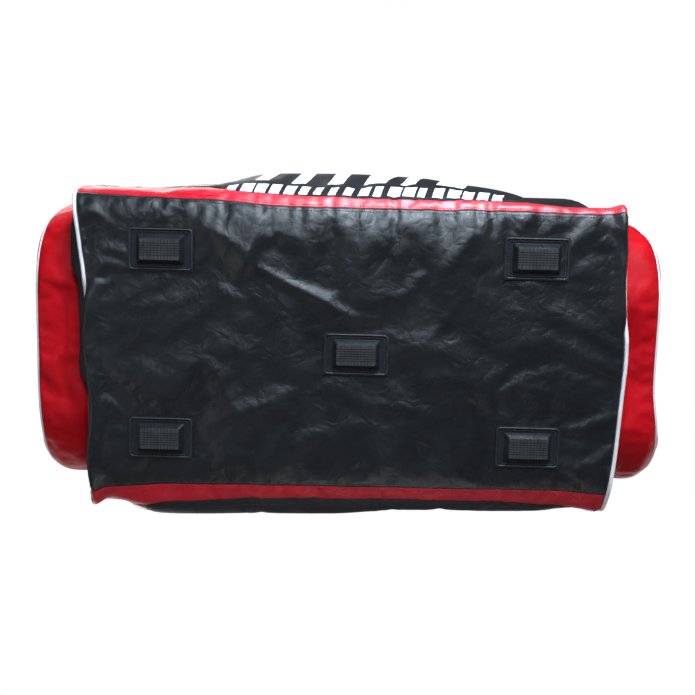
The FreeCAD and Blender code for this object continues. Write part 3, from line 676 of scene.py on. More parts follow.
def tuck(side, y, z):
    """1 where the piping is folded in under the base's edge, and 0 where it stands out."""
    across = smooth((y + 0.095) / 0.04) if side < 0 else 1 - smooth((y + 0.06) / 0.04)
    rise = 40 * MM * smooth((y - 0.12) / 0.08) if side < 0 else 0.0
    return across * low_part(z - rise)


def belly(side, x, z):
    """How far the front or back panel swells past the straight wall."""
    if side == FRONT:
        return curve_through(FRONT_BELLY, x) * smooth((z - 0.022) / 0.075) * (1 - smooth((z - 0.12) / 0.10))
    return curve_through(BACK_BELLY, x) * smooth((z - 0.018) / 0.044) * (1 - smooth((z - 0.07) / 0.15))


def slump(x, y, z):
    """How far the lower corners slump towards the back, as an empty bag's do."""
    lean = curve_through(FRONT_LEAN, x) * smooth((z - 0.016) / 0.035) * (1 - smooth((z - 0.10) / 0.27))
    spread_out = curve_through(BACK_SPREAD, x) * smooth((z - 0.012) / 0.03) * (1 - smooth((z - 0.06) / 0.16))
    return lean * smooth((-0.10 - y) / 0.11) + spread_out * smooth((y - 0.10) / 0.11)


CREASES = (
    # from (x, y), to (x, y), height and width of folds that the base panel keeps
    ((-0.165, -0.130), (0.000, -0.052), 3.0 * MM, 9 * MM),
    ((-0.230, -0.190), (-0.120, -0.120), 3.5 * MM, 12 * MM),
    ((-0.120, -0.195), (-0.150, -0.100), 3.0 * MM, 12 * MM),
    ((0.190, -0.190), (0.130, -0.110), 3.0 * MM, 12 * MM),
    ((0.330, -0.190), (0.290, -0.110), 2.5 * MM, 10 * MM),
    ((0.080, -0.020), (0.200, 0.060), 2.0 * MM, 14 * MM),
    ((-0.060, 0.060), (-0.190, 0.110), 2.0 * MM, 14 * MM),
)


def crease_height(x, y):
    total = 0.0
    for start, end, height, width in CREASES:
        along = Vector(end) - Vector(start)
        from_start = Vector((x, y)) - Vector(start)
        share = from_start.dot(along) / along.length_squared
        if -0.2 < share < 1.2:
            off = (from_start - along * share).length / width
            total += height * math.exp(-off * off) * smooth((share + 0.2) / 0.4) * smooth((1.2 - share) / 0.4)
    return total


FOOT_BOXES = [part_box(foot) for foot in FEET]


def foot_distance(x, y):
    """How far a base point is from the nearest foot's flange."""
    return min(
        math.hypot(max(low.x - x, 0, x - high.x), max(low.y - y, 0, y - high.y)) for low, high in FOOT_BOXES
    )


# ---------------------------------------------------------------- cloth simulation

SIM_FRAMES = 24
MOST_SPARE = 0.05


class Patch:
    """A grid of cloth, how firmly each point is held, how full it is, and how far it may move."""

    def __init__(self, points, hold, fullness, out=6 * MM, inward=6 * MM, flip=False):
        self.points = np.asarray(points, float)
        shape = self.points.shape[:2]
        self.hold = np.broadcast_to(hold, shape).astype(float)
        self.fullness = np.broadcast_to(fullness, shape).astype(float)
        self.out = np.broadcast_to(out, shape).astype(float)
        self.inward = np.broadcast_to(inward, shape).astype(float)
        self.flip = flip

    def accept(self, moved):
        """Takes the simulated points, within the most that each may move."""
        normal = grid_normals(self.points, self.flip)
        shift = moved - self.points
        away = (shift * normal).sum(-1)
        most = np.where(away > 0, self.out, self.inward)
        limited = most * np.tanh(away / np.maximum(most, 1e-6))
        sideways = shift - away[..., None] * normal
        length = np.linalg.norm(sideways, axis=-1, keepdims=True)
        sideways *= np.tanh(length / (5 * MM)) / np.maximum(length / (5 * MM), 1e-6)
        free = (self.hold < 0.999)[..., None]
        self.points = self.points + (limited[..., None] * normal + sideways) * free


def drape(patches):
    """Runs Blender's Cloth once over every patch, so that each keeps its own wrinkles."""
    scene = bpy.context.scene
    points, faces, start = [], [], 0
    for patch in patches:
        rows, columns = patch.points.shape[:2]
        points.append(patch.points.reshape(-1, 3))
        faces += [[start + k for k in face] for face in grid_faces(rows, columns, patch.flip)]
        start += rows * columns
    mesh = bpy.data.meshes.new("cloth")
    mesh.from_pydata(np.concatenate(points).tolist(), [], faces)
    sheet = new_object("cloth", mesh)
    weights = {
        "hold": np.concatenate([patch.hold.ravel() for patch in patches]),
        "taut": 1 - np.concatenate([patch.fullness.ravel() for patch in patches]),
    }
    for name, values in weights.items():
        group = sheet.vertex_groups.new(name=name)
        for index, weight in enumerate(values):
            group.add([index], float(weight), "REPLACE")
    cloth_modifier = sheet.modifiers.new("cloth", "CLOTH")
    settings = cloth_modifier.settings
    settings.quality, settings.mass = 5, 0.15
    settings.tension_stiffness = settings.compression_stiffness = 20
    settings.shear_stiffness, settings.bending_stiffness = 8, 0.3
    settings.vertex_group_mass, settings.pin_stiffness = "hold", 1.0
    settings.vertex_group_shrink, settings.shrink_min, settings.shrink_max = "taut", -MOST_SPARE, 0.0
    settings.effector_weights.gravity = 0
    cloth_modifier.collision_settings.use_collision = False
    cloth_modifier.point_cache.frame_start, cloth_modifier.point_cache.frame_end = 1, SIM_FRAMES
    scene.frame_start, scene.frame_end = 1, SIM_FRAMES
    for number in range(1, SIM_FRAMES + 1):
        scene.frame_set(number)
    result = sheet.evaluated_get(bpy.context.evaluated_depsgraph_get())
    moved = np.zeros(len(mesh.vertices) * 3)
    result.data.vertices.foreach_get("co", moved)
    moved = moved.reshape(-1, 3)
    start = 0
    for patch in patches:
        rows, columns = patch.points.shape[:2]
        patch.accept(moved[start:start + rows * columns].reshape(rows, columns, 3))
        start += rows * columns
    bpy.data.objects.remove(sheet)
    scene.frame_set(1)


# ---------------------------------------------------------------- the shell's grids

BASE_ROWS, BAND_ROWS, PANEL_ROWS = 40, 5, 46
EDGE_STEPS = (0, 2.5, 5, 8, 12, 17, 23)
COLUMN_STEP = 6.1 * MM


def shell_columns():
    """Places across the shell from -1 to 1, closer together at the two ends."""
    near = [step * MM / SHELL_X for step in EDGE_STEPS]
    middle = 1 - near[-1]
    count = 2 * int(middle * SHELL_X / COLUMN_STEP)
    across = list(np.linspace(-middle, middle, count + 1))
    return np.array([-1 + n for n in near[:-1]] + across + [1 - n for n in near[:-1][::-1]])


def shell_runs(side, x):
    """The runs of one half's rows at x: the base, the band, then the panel."""
    seam = curve_through(FRONT_SEAM if side == FRONT else BACK_SEAM, x)
    band = curve_through(FRONT_BAND if side == FRONT else BACK_BAND, x)
    ripple = 1.3 * MM * wander(side + 2, x * 17) + 0.7 * MM * wander(side + 6, x * 60)
    first = BASE_RUN + seam + ripple
    second = BAND_RUN + band + ripple + 1.2 * MM * wander(side + 9, x * 34)
    return np.concatenate([
        np.linspace(0, first, BASE_ROWS + 1),
        np.linspace(first, second, BAND_ROWS + 1)[1:],
        np.linspace(second, WALL_RUN, PANEL_ROWS + 1)[1:],
    ])


def shell_point(side, place, run):
    """A point of the resting shell, before it wrinkles. place is from -1 to 1 along x."""
    y, z, out_y, out_z = half_section(run)
    y, out_y = side * y, side * out_y
    end = 1 if place > 0 else -1
    reach = edge_x(end, y, z) - PIPING_RADIUS
    x = place * (SHELL_X + (reach - SHELL_X) * abs(place) ** 6)
    from_edge = reach - abs(x)
    folded = tuck(end, y, z)
    swell = belly(side, x, z)
    inner = 1 - (x / SHELL_X) ** 2
    base_share = 1 - smooth((run - LOW_FLAT_Y + 30 * MM) / (60 * MM))
    swell += base_share * 3.0 * MM * inner * smooth(foot_distance(x, y) / (60 * MM))
    swell += crease_height(x, y) * base_share
    swell += base_share * 0.4 * MM * wander(19, x * 48, y * 48)
    if side == FRONT:
        near_seam = math.exp(-((run - BASE_RUN + 20 * MM) / (26 * MM)) ** 2)
        pleats = 2.4 * MM * wander(21, x * 44, y * 5) + 1.6 * MM * wander(22, x * 90, y * 8)
        swell += pleats * near_seam * (0.6 + 0.4 * smooth(x / 0.2))
    lip = math.exp(-((from_edge - 5 * MM) / (8 * MM)) ** 2) * 7 * MM
    sink = math.exp(-(from_edge / (2 * MM)) ** 2) * (1.5 + 8.0 * folded) * MM
    swell += folded * lip - sink
    x += end * folded * 4.5 * MM * math.exp(-((from_edge - 3 * MM) / (4 * MM)) ** 2)
    return x, y + swell * out_y + slump(x, y, z), z + swell * out_z


ANCHOR_X = 0.105, 0.155
ANCHOR_LOW = 0.294
CALM_Z = 0.215


def near_anchor(x, z):
    """True on the patches where the handles' webbing is sewn to the panels."""
    return ANCHOR_X[0] < abs(x) < ANCHOR_X[1] and z > ANCHOR_LOW


def shell_patch():
    """The base, bands, front and back panels as one sheet, from the front's top to the back's.

    Above CALM_Z the panels hardly swell, so that they stay clear of the hanging handles.
    """
    places = shell_columns()
    halves = {}
    for side in (FRONT, BACK):
        runs = np.array([shell_runs(side, place * SHELL_X) for place in places]).T
        halves[side] = [[shell_point(side, *at) for at in zip(places, row)] for row in runs]
    points = np.array(halves[FRONT][::-1] + halves[BACK][1:])
    rows, columns = points.shape[:2]
    side_rows = rows // 2
    hold, full, out, inward = (np.zeros((rows, columns)) for _ in range(4))
    for r in range(rows):
        from_middle = abs(r - side_rows)
        seam = min(abs(from_middle - BASE_ROWS), abs(from_middle - BASE_ROWS - BAND_ROWS))
        for c in range(columns):
            x, y, z = points[r, c]
            on_base = from_middle <= BASE_ROWS
            firm = 0.10 * (0.45 + 0.9 * abs(wander(3, x * 8, y * 8, z * 8)))
            hold[r, c] = firm + 0.35 * math.exp(-seam)
            calm = 0.17 * on_base * smooth((y + 0.16) / 0.10)
            full[r, c] = 0.29 - calm + 0.24 * wander(5, x * 6, y * 6, z * 6)
            out[r, c], inward[r, c] = (6 * MM, 1.4 * MM) if on_base else (8 * MM, 10 * MM)
            if on_base and foot_distance(x, y) < 2 * MM or near_anchor(x, z):
                hold[r, c] = 1
            if z > CALM_Z:
                out[r, c] = 1.6 * MM
            if c in (0, columns - 1) or r in (0, rows - 1):
                hold[r, c] = 1
    return Patch(points, hold, full, out, inward, flip=True)


def make_shell(patch, materials):
    """Cuts the draped shell along its seams into the pieces that it is sewn from."""
    middle = patch.points.shape[0] // 2
    base, band = BASE_ROWS, BASE_ROWS + BAND_ROWS
    cuts = (
        ("front_panel_cloth", 0, middle - band, "printed", "black_fabric", "front_panel"),
        ("front_band_cloth", middle - band, middle - base, "band", "red_fabric", "front_lower_band"),
        ("base_cloth", middle - base, middle + base, "base", "base_fabric", "bottom_panel"),
        ("back_band_cloth", middle + base, middle + band, "back_band", "red_fabric", "back_lower_band"),
        ("back_panel_cloth", middle + band, len(patch.points) - 1, "black", "black_fabric", "back_panel"),
    )
    for name, first, last, material, slot, node in cuts:
        mesh = sheet_mesh(patch.points[first:last + 1], patch.flip)
        settle(thicken(new_piece(name, materials[material], *mesh)), "bag", slot, node)
    normals = grid_normals(patch.points, patch.flip)
    for part, from_middle, material, slot in (
        ("base", base - 1, "thread", "base_fabric"),
        ("band", base + 1, "red_thread", "red_fabric"),
        ("panel", band + 1, "thread", "base_fabric"),
    ):
        for name, side in (("front", FRONT), ("back", BACK)):
            row = middle + side * from_middle
            outward = normals[row][len(normals[row]) // 2]
            line = patch.points[row] + normals[row] * 0.25 * MM
            piece = new_piece(f"{name}_{part}_stitches", materials[material], *stitching(line, outward))
            settle(piece, "bag", slot)


def flange_line(low, high, inset, radius, count, z):
    """Points round a foot's flange, inside its edge."""
    centre = (low + high) / 2
    half_x, half_y = (high.x - low.x) / 2 - inset, (high.y - low.y) / 2 - inset
    outline = rounded_outline(half_x, -half_y, half_y, radius, radius, count)
    return [(centre.x + x, centre.y + y, z) for x, y, _, _ in outline]


def make_foot_frames(materials):
    """A moulded bead round each foot's sewing flange, and the stitches that hold the flange."""
    frames, threads = [], []
    for low, high in FOOT_BOXES:
        path = flange_line(low, high, 2.2 * MM, 4 * MM, 120, FLANGE_Z + 0.2 * MM)
        frames.append(tube(path, 1.3 * MM, closed=True, sides=8))
        line = flange_line(low, high, 5.6 * MM, 2 * MM, 100, FLANGE_Z - 0.1 * MM)
        threads.append(stitching(line + line[:1], (0, 0, -1), 0.4 * MM, 3.6 * MM, 1.4 * MM, 0.45 * MM))
    settle(new_piece("foot_frames", materials["foot_frame"], *joined(frames)), "bag", "foot_plastic")
    settle(new_piece("foot_stitches", materials["thread"], *joined(threads)), "bag", "foot_plastic")


def make_bindings(patch, materials):
    """Black tape that binds the seams on the inside."""
    middle, band = patch.points.shape[0] // 2, BASE_ROWS + BAND_ROWS
    normals = grid_normals(patch.points, patch.flip)
    seams = [(middle + offset, 1.0 * MM, 2.0 * MM) for offset in (-band, -BASE_ROWS, BASE_ROWS, band)]
    seams += [(row, 1.4 * MM, 2.6 * MM) for row in (0, -1)]
    parts = [
        tube(patch.points[row, 1:-1] - normals[row, 1:-1] * (CLOTH + depth), radius, closed=False, sides=8)
        for row, depth, radius in seams
    ]
    in_x, in_out = 3.8 * MM, 2.7 * MM
    for _, side in SIDES:
        path = []
        for y, z, out_y, out_z in rounded_outline(*RING, 300):
            x, lifted = ring_place(side, y, z)
            path.append((x - side * in_x, y - in_out * out_y + slump(x, y, z), lifted - in_out * out_z))
        parts.append(tube(path, 3.4 * MM, closed=True, sides=8))
    settle(new_piece("seam_bindings", materials["tape"], *joined(parts)), "bag", "black_fabric")


# ---------------------------------------------------------------- end panels and piping


def rounded_outline(half_y, low, high, low_radius, high_radius, count):
    """Even (y, z, outward y, outward z) rows round a rounded rectangle, from the top's middle towards +Y."""
    corners = (
        (half_y - high_radius, high - high_radius, high_radius, math.pi / 2),
        (half_y - low_radius, low + low_radius, low_radius, 0.0),
        (-half_y + low_radius, low + low_radius, low_radius, -math.pi / 2),
        (-half_y + high_radius, high - high_radius, high_radius, -math.pi),
    )
    dense = [(0.0, high, 0.0, 1.0)]
    for centre_y, centre_z, radius, start in corners:
        for step in range(CORNER_STEPS + 1):
            angle = start - step / CORNER_STEPS * math.pi / 2
            sin, cos = math.sin(angle), math.cos(angle)
            dense.append((centre_y + radius * cos, centre_z + radius * sin, cos, sin))
    return outline_rows(dense + dense[:1], count, endpoint=False)


def half_width(z, half_y, low, high, low_radius, high_radius):
    """Half the width of a rounded rectangle at a height."""
    if z < low + low_radius:
        drop = low + low_radius - z
        return half_y - low_radius + math.sqrt(max(low_radius ** 2 - drop ** 2, 0))
    if z > high - high_radius:
        rise = z - high + high_radius
        return half_y - high_radius + math.sqrt(max(high_radius ** 2 - rise ** 2, 0))
    return half_y


PLANE_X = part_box("right_end_panel")[1].x
RING_Y = SIDE_Y - PIPING_RADIUS
RING_LOW, RING_HIGH = BASE_Z + PIPING_RADIUS, TOP_Z - PIPING_RADIUS
RING = (RING_Y, RING_LOW, RING_HIGH, LOW_RADIUS - PIPING_RADIUS, HIGH_RADIUS - PIPING_RADIUS)
END_SLIVER = 14 * MM


def ring_place(side, y, z):
    """(x, z) of the end piping's middle at a point of its outline."""
    return side * edge_x(side, y, z), z + TUCK_LIFT * tuck(side, y, z)


def make_end_piping(name, side, materials):
    path = []
    for y, z, out_y, out_z in rounded_outline(*RING, 420):
        x, lifted = ring_place(side, y, z)
        wobble = 0.5 * MM * wander(8, y * 40, z * 40)
        path.append((x, y + wobble * out_y + slump(x, y, z), lifted + wobble * out_z))
    cord = tube(path, PIPING_RADIUS, closed=True, sides=12)
    piece = new_piece(f"{name}_piping_cord", materials["piping"], *cord)
    settle(piece, "bag", "white_piping", f"{name}_end_piping")


def end_plane(side, y, z):
    """How far out the end panel stands: less where the base's edge is pulled in."""
    pulled = min(low_edge_x(side, y) + 4 * MM - PLANE_X, 0)
    return PLANE_X + pulled * (1 - smooth((z - 0.05) / 0.16)) * smooth((y - 0.03) / 0.06)


def end_patch(side):
    """One end panel, pulled in to the piping all round, with a full lower edge."""
    rows, columns = 56, 48
    _, low, high, _, _ = RING
    points, hold = np.zeros((rows + 1, columns + 1, 3)), np.full((rows + 1, columns + 1), 0.08)
    for r in range(rows + 1):
        z = low + (high - low) * r / rows
        half = half_width(z, *RING)
        for c in range(columns + 1):
            y = half * (2 * c / columns - 1)
            from_edge = min(RING_Y - abs(y), z - low, high - z)
            if z < low + LOW_RADIUS or z > high - HIGH_RADIUS:
                from_edge = min(from_edge, half - abs(y) + 2 * MM)
            ring_x, lifted = ring_place(side, y, z)
            inner = 1 - math.exp(-max(from_edge, 0) / (7 * MM))
            sliver = END_SLIVER * math.exp(-((z - low - 8 * MM) / (14 * MM)) ** 2)
            left_share = smooth((0.06 - abs(y + 0.135)) / 0.035)
            right_share = smooth((0.2 - abs(y)) / 0.1) * 0.2
            sliver *= left_share if side < 0 else right_share
            x = ring_x + (side * end_plane(side, y, z) - ring_x) * inner + side * sliver * inner
            points[r, c] = x, y + slump(x, y, z), z + (lifted - z) * (1 - inner)
            if pocket_seam_distance(side, points[r, c, 1], z) < 12 * MM:
                hold[r, c] = 1
    hold[[0, -1], :] = hold[:, [0, -1]] = 1
    return Patch(points, hold, 0.3, out=2 * MM, inward=7 * MM, flip=side < 0)


def make_end_panel(name, patch, materials):
    piece = new_piece(f"{name}_end_cloth", materials["black"], *sheet_mesh(patch.points, patch.flip))
    settle(thicken(piece), "bag", "black_fabric", f"{name}_end_panel")


# ---------------------------------------------------------------- end pockets

pocket_low, pocket_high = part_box("right_pocket_gusset")
POCKET_Y = pocket_high.y
POCKET_LOW, POCKET_HIGH = pocket_low.z, pocket_high.z
POCKET_FACE_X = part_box("right_pocket_face")[0].x
MOUTH_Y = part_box("right_pocket_flap")[1].y
MOUTH_X = 447 * MM
POCKET_LOW_RADIUS, POCKET_HIGH_RADIUS = 120 * MM, 46 * MM
POCKET = (POCKET_Y, POCKET_LOW, POCKET_HIGH, POCKET_LOW_RADIUS, POCKET_HIGH_RADIUS)
FACE_INSET = 2.5 * MM
FACE = (POCKET_Y - FACE_INSET, POCKET_LOW + FACE_INSET, POCKET_HIGH - FACE_INSET,
        POCKET_LOW_RADIUS - FACE_INSET, POCKET_HIGH_RADIUS - FACE_INSET)
GUSSET_ROWS, GUSSET_COLUMNS = 10, 176


def face_x(side, y, z):
    """How far out the pocket's front edge stands: less at its front end, where the cloth is pulled in."""
    pulled = 16 * MM if side < 0 else 21 * MM
    ends = (abs(y) / POCKET_Y) ** 14 * (1 if y < 0 else 0.1)
    lean = (-2 * MM if side < 0 else 14 * MM) * smooth((y - 0.03) / 0.11)
    slack = 1 - smooth((z - 0.29) / 0.03)
    low = (lean - pulled * ends) * (1 - smooth((z - 0.25) / 0.08))
    return POCKET_FACE_X + low + (1.2 * MM * wander(11, y * 12, z * 12) - 2.5 * MM) * slack


def pocket_slump(side, y, z):
    """How far the pocket's cloth hangs towards the back, less at its front end and not at its mouth."""
    share = smooth((y / POCKET_Y + 1) / 2)
    first, last = (-1 * MM, 24 * MM) if side < 0 else (8 * MM, 13 * MM)
    return (first + (last - first) * share) * (1 - smooth((z - 0.17) / 0.13))


def pocket_seam_distance(side, y, z):
    """How far a point of the end panel is from the line where the pocket is sewn on."""
    radius = POCKET_LOW_RADIUS if z < (POCKET_LOW + POCKET_HIGH) / 2 else POCKET_HIGH_RADIUS
    past_y = abs(y - pocket_slump(side, y, z)) - (POCKET_Y - radius)
    past_z = max(POCKET_LOW - z, z - POCKET_HIGH) + radius
    return abs(math.hypot(max(past_y, 0), max(past_z, 0)) + min(max(past_y, past_z), 0) - radius)


def pocket_wall_x(side, y, z):
    """How far out the end panel stands at a point of the pocket's own outline."""
    hung = y + pocket_slump(side, y, z)
    return end_plane(side, hung - slump(side * PLANE_X, hung, z), z)


def in_mouth(y, z, x):
    return abs(y) < MOUTH_Y and z > POCKET_HIGH - 3 * MM and x < MOUTH_X


def gusset_patch(side):
    """The red strip round one pocket, from the bag's end to the pocket's face."""
    outline = rounded_outline(*POCKET, GUSSET_COLUMNS)
    outline = np.concatenate([outline, outline[:1]])
    shape = GUSSET_ROWS + 1, GUSSET_COLUMNS + 1
    points, hold = np.zeros((*shape, 3)), np.zeros(shape)
    for c, (y, z, out_y, out_z) in enumerate(outline):
        loose = 1 - smooth((z - 0.285) / 0.04)
        for r in range(GUSSET_ROWS + 1):
            share = r / GUSSET_ROWS
            wall = pocket_wall_x(side, y, z) - CLOTH / 3
            x = wall + (face_x(side, y, z) - wall) * share
            if loose < 0.5 and abs(y) < MOUTH_Y + 4 * MM and r == GUSSET_ROWS - 1:
                x = MOUTH_X
            swell = (CLOTH + 7 * MM * math.sin(math.pi * share)) * loose
            fold = 4.5 * MM if side > 0 else 2.0 * MM
            swell -= fold * math.exp(-((share - 0.45 - 0.06 * wander(7, y * 9)) / 0.12) ** 2) * loose
            points[r, c] = side * x, y + swell * out_y + pocket_slump(side, y, z), z + swell * out_z
            hold[r, c] = 1 if r in (0, GUSSET_ROWS) or loose < 0.2 else 0.03
    return Patch(points, hold, 1.0, out=10 * MM, inward=8 * MM, flip=side > 0)


def face_patch(side):
    """One pocket's outer face, which bulges."""
    rows, columns = 38, 50
    _, low, high, _, _ = FACE
    points = np.zeros((rows + 1, columns + 1, 3))
    for r in range(rows + 1):
        z = low + (high - low) * r / rows
        half = half_width(z, *FACE)
        for c in range(columns + 1):
            y = half * (2 * c / columns - 1)
            round_y, round_z = 1 - (y / half) ** 2, 1 - (2 * r / rows - 1) ** 2
            bulge = 8 * MM * math.sqrt(max(round_y * round_z, 0)) * smooth((z - 0.07) / 0.08)
            x = face_x(side, y, z) + 1 * MM + CLOTH + bulge
            points[r, c] = side * x, y + pocket_slump(side, y, z), z
    hold = np.full((rows + 1, columns + 1), 0.06)
    hold[[0, -1], :] = hold[:, [0, -1]] = 1
    hold[-3:, :] = 1
    return Patch(points, hold, 0.5, out=7 * MM, inward=5 * MM, flip=side < 0)


def make_pocket(name, side, gusset, face, materials):
    outline = rounded_outline(*POCKET, GUSSET_COLUMNS)

    def whole(r, c):
        y, z = outline[c][:2]
        y = (y + outline[(c + 1) % GUSSET_COLUMNS][0]) / 2
        return not (in_mouth(y, z, MOUTH_X - MM) and r < GUSSET_ROWS - 1)

    mesh = sheet_mesh(gusset.points, gusset.flip, whole)
    piece = new_piece(f"{name}_gusset_cloth", materials["red"], *mesh)
    drop_loose_points(piece)
    settle(thicken(piece), "bag", "red_fabric", f"{name}_pocket_gusset")
    piece = new_piece(f"{name}_face_cloth", materials["red"], *sheet_mesh(face.points, face.flip))
    settle(thicken(piece), "bag", "red_fabric", f"{name}_pocket_face")
    path = []
    for y, z, out_y, out_z in rounded_outline(*FACE, 300):
        wobble = 0.4 * MM * wander(12, y * 40, z * 40) - 0.3 * MM
        place_y = y + wobble * out_y + pocket_slump(side, y, z)
        path.append((side * (face_x(side, y, z) + 0.8 * MM), place_y, z + wobble * out_z))
    piece = new_piece(f"{name}_face_cord", materials["piping"], *tube(path, 2.5 * MM, closed=True))
    settle(piece, "bag", "white_piping", f"{name}_pocket_piping")
    make_flap(name, side, materials)


def drop_loose_points(piece):
    """Deletes the points that no face uses."""
    work = bmesh.new()
    work.from_mesh(piece.data)
    bmesh.ops.delete(work, geom=[v for v in work.verts if not v.link_faces], context="VERTS")
    work.to_mesh(piece.data)
    work.free()


def make_flap(name, side, materials):
    """The flap over a pocket's mouth, lying flat from the bag's end outwards."""
    low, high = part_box(f"{name}_pocket_flap")
    rows, columns = 8, 60
    inner, outer = min(abs(low.x), abs(high.x)), max(abs(low.x), abs(high.x))
    points = np.zeros((rows + 1, columns + 1, 3))
    for r in range(rows + 1):
        for c in range(columns + 1):
            share = r / rows
            y = low.y + (high.y - low.y) * c / columns
            dent = -0.7 * MM * math.sin(math.pi * share)
            dent += 0.5 * MM * wander(14, y * 30, share * 2) * share * (1 - share) * 4
            points[r, c] = side * (inner + (outer - inner) * share), y, high.z + dent
    piece = new_piece(f"{name}_flap_cloth", materials["red"], *sheet_mesh(points, side > 0))
    start, end = (side * inner, 0, high.z), (side * (inner + 9 * MM), 0, high.z)
    bend(thicken(piece, rounded=False), f"{name}_flap", start, end, "red_fabric", f"{name}_pocket_flap")


# ---------------------------------------------------------------- top rim, lid and zips

lid_low, lid_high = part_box("lid_panel")
zip_low, zip_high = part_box("lid_zip_half")
HINGE_Y = 183 * MM
LID = (lid_high.x, lid_low.y, lid_high.y, 56 * MM)
OPENING = (360 * MM, -183 * MM, HINGE_Y, 70 * MM)
ZIP_GAP = 0.2 * MM
ZIP_LINE = (zip_high.x + ZIP_GAP, zip_low.y - ZIP_GAP, zip_high.y, 63 * MM)
TAPE_Z = zip_low.z
COIL_TOP = zip_high.z
RIM_FLAT_Y = SIDE_Y - HIGH_RADIUS


def three_sides(half_x, front_y, back_y, radius, count):
    """Even (x, y, outward x, outward y) rows from the back's left end, round the front, to its right end."""
    dense = [(-half_x, back_y, -1.0, 0.0)]
    for side in (-1, 1):
        centre_x, centre_y = side * (half_x - radius), front_y + radius
        start = math.pi if side < 0 else -math.pi / 2
        for step in range(CORNER_STEPS + 1):
            angle = start + step / CORNER_STEPS * math.pi / 2
            cos, sin = math.cos(angle), math.sin(angle)
            dense.append((centre_x + radius * cos, centre_y + radius * sin, cos, sin))
    return outline_rows(dense + [(half_x, back_y, 1.0, 0.0)], count)


def out_to_rim(x, y, out_x, out_y):
    """Where a line from the opening's edge, straight outwards, meets the rim's rectangle."""
    reach = [(SHELL_X - abs(x)) / abs(out_x)] if abs(out_x) > 1e-6 else []
    if out_y < -1e-6:
        reach.append((RIM_FLAT_Y + y) / -out_y)
    return x + out_x * min(reach), y + out_y * min(reach)


def make_rim(materials):
    """The flat rim round the opening, and the two rounded edges down to the front and back panels."""
    edge = three_sides(*OPENING, 320)
    rows = 4
    flat = np.zeros((rows + 1, len(edge), 3))
    for c, (x, y, out_x, out_y) in enumerate(edge):
        far_x, far_y = out_to_rim(x, y, out_x, out_y)
        for r in range(rows + 1):
            share = r / rows
            place_x, place_y = x + (far_x - x) * share, y + (far_y - y) * share
            dip = 1.6 * MM * math.sin(math.pi * share) * (0.4 + wander(15, place_x * 16, place_y * 16))
            flat[r, c] = place_x, place_y, TOP_Z - dip
    meshes = [sheet_mesh(flat, flip=True)]
    places = np.linspace(-1, 1, 100)
    for side in (FRONT, BACK):
        arc_rows = 8
        back_rows = 2 if side == BACK else 0
        arc = np.zeros((arc_rows + 1 + back_rows, len(places), 3))
        for r in range(arc_rows + 1):
            turn = math.pi / 2 * max(r - 1, 0) / (arc_rows - 1)
            y = RIM_FLAT_Y + HIGH_RADIUS * math.cos(turn) - (CLOTH if r == 0 else 0)
            z = HIGH_CORNER_Z + HIGH_RADIUS * math.sin(turn) - (4 * MM if r == 0 else 0)
            for c, place in enumerate(places):
                dip = 1.5 * MM * math.sin(2 * turn) * wander(16 + side, place * 9, turn * 2)
                dip += 1.5 * MM * abs(place) ** 60 * math.sin(2 * turn)
                arc[r, c] = place * SHELL_X, side * (y - dip * math.cos(turn)), z - dip * math.sin(turn)
        for r in range(back_rows):
            y = RIM_FLAT_Y + (HINGE_Y - RIM_FLAT_Y) * (r + 1) / back_rows
            for c, place in enumerate(places):
                arc[arc_rows + 1 + r, c] = place * SHELL_X, y, TOP_Z
        meshes.append(sheet_mesh(arc, flip=side == BACK))
    piece = new_piece("rim_cloth", materials["black"], *joined(meshes))
    settle(thicken(piece), "bag", "black_fabric", "top_rim")
    line = [(x + 3 * MM * out_x, y + 3 * MM * out_y, TOP_Z + 0.1 * MM) for x, y, out_x, out_y in edge]
    make_top_stitches("rim", line, "bag", materials)


def make_top_stitches(name, line, body, materials):
    piece = new_piece(f"{name}_stitches", materials["thread"], *stitching(line, (0, 0, 1), 0.4 * MM))
    settle(piece, body, "black_fabric")


def lid_patch():
    """The lid's cloth, held flat round its edge and slack in the middle."""
    rows, columns = 42, 78
    half_x, front_y, back_y, radius = LID
    points, hold = np.zeros((rows + 1, columns + 1, 3)), np.full((rows + 1, columns + 1), 0.05)
    for r in range(rows + 1):
        y = front_y + (back_y - front_y) * r / rows
        drop = max(front_y + radius - y, 0)
        half = half_x - radius + math.sqrt(max(radius ** 2 - drop ** 2, 0))
        for c in range(columns + 1):
            across, up = 2 * c / columns - 1, 2 * r / rows - 1
            slack = 8 * MM * math.sqrt(max((1 - across ** 2) * (1 - up ** 2), 0))
            slack *= 0.6 + 0.4 * wander(17, across * 2, up)
            points[r, c] = half * across, y, TOP_Z - slack
    hold[[0, 1, -2, -1], :] = hold[:, [0, 1, -2, -1]] = 1
    return Patch(points, hold, 0.5, out=5 * MM, inward=7 * MM, flip=False)


def make_lid(patch, materials):
    piece = thicken(new_piece("lid_cloth", materials["black"], *sheet_mesh(patch.points, patch.flip)))
    bend(piece, "lid", (0, HINGE_Y, TOP_Z), (0, HINGE_Y - 18 * MM, TOP_Z), "black_fabric", "lid_panel")
    half_x, front_y, back_y, radius = LID
    inset = 3 * MM
    line = [(x, y, TOP_Z + 0.1 * MM) for x, y, _, _ in
            three_sides(half_x - inset, front_y + inset, back_y - 20 * MM, radius - inset, 320)]
    make_top_stitches("lid", line, "lid", materials)


TAPE_WIDTH, TAPE_THICKNESS = 12 * MM, 0.8 * MM
TOOTH_PITCH, TOOTH_LENGTH = 2.4 * MM, 4.0 * MM


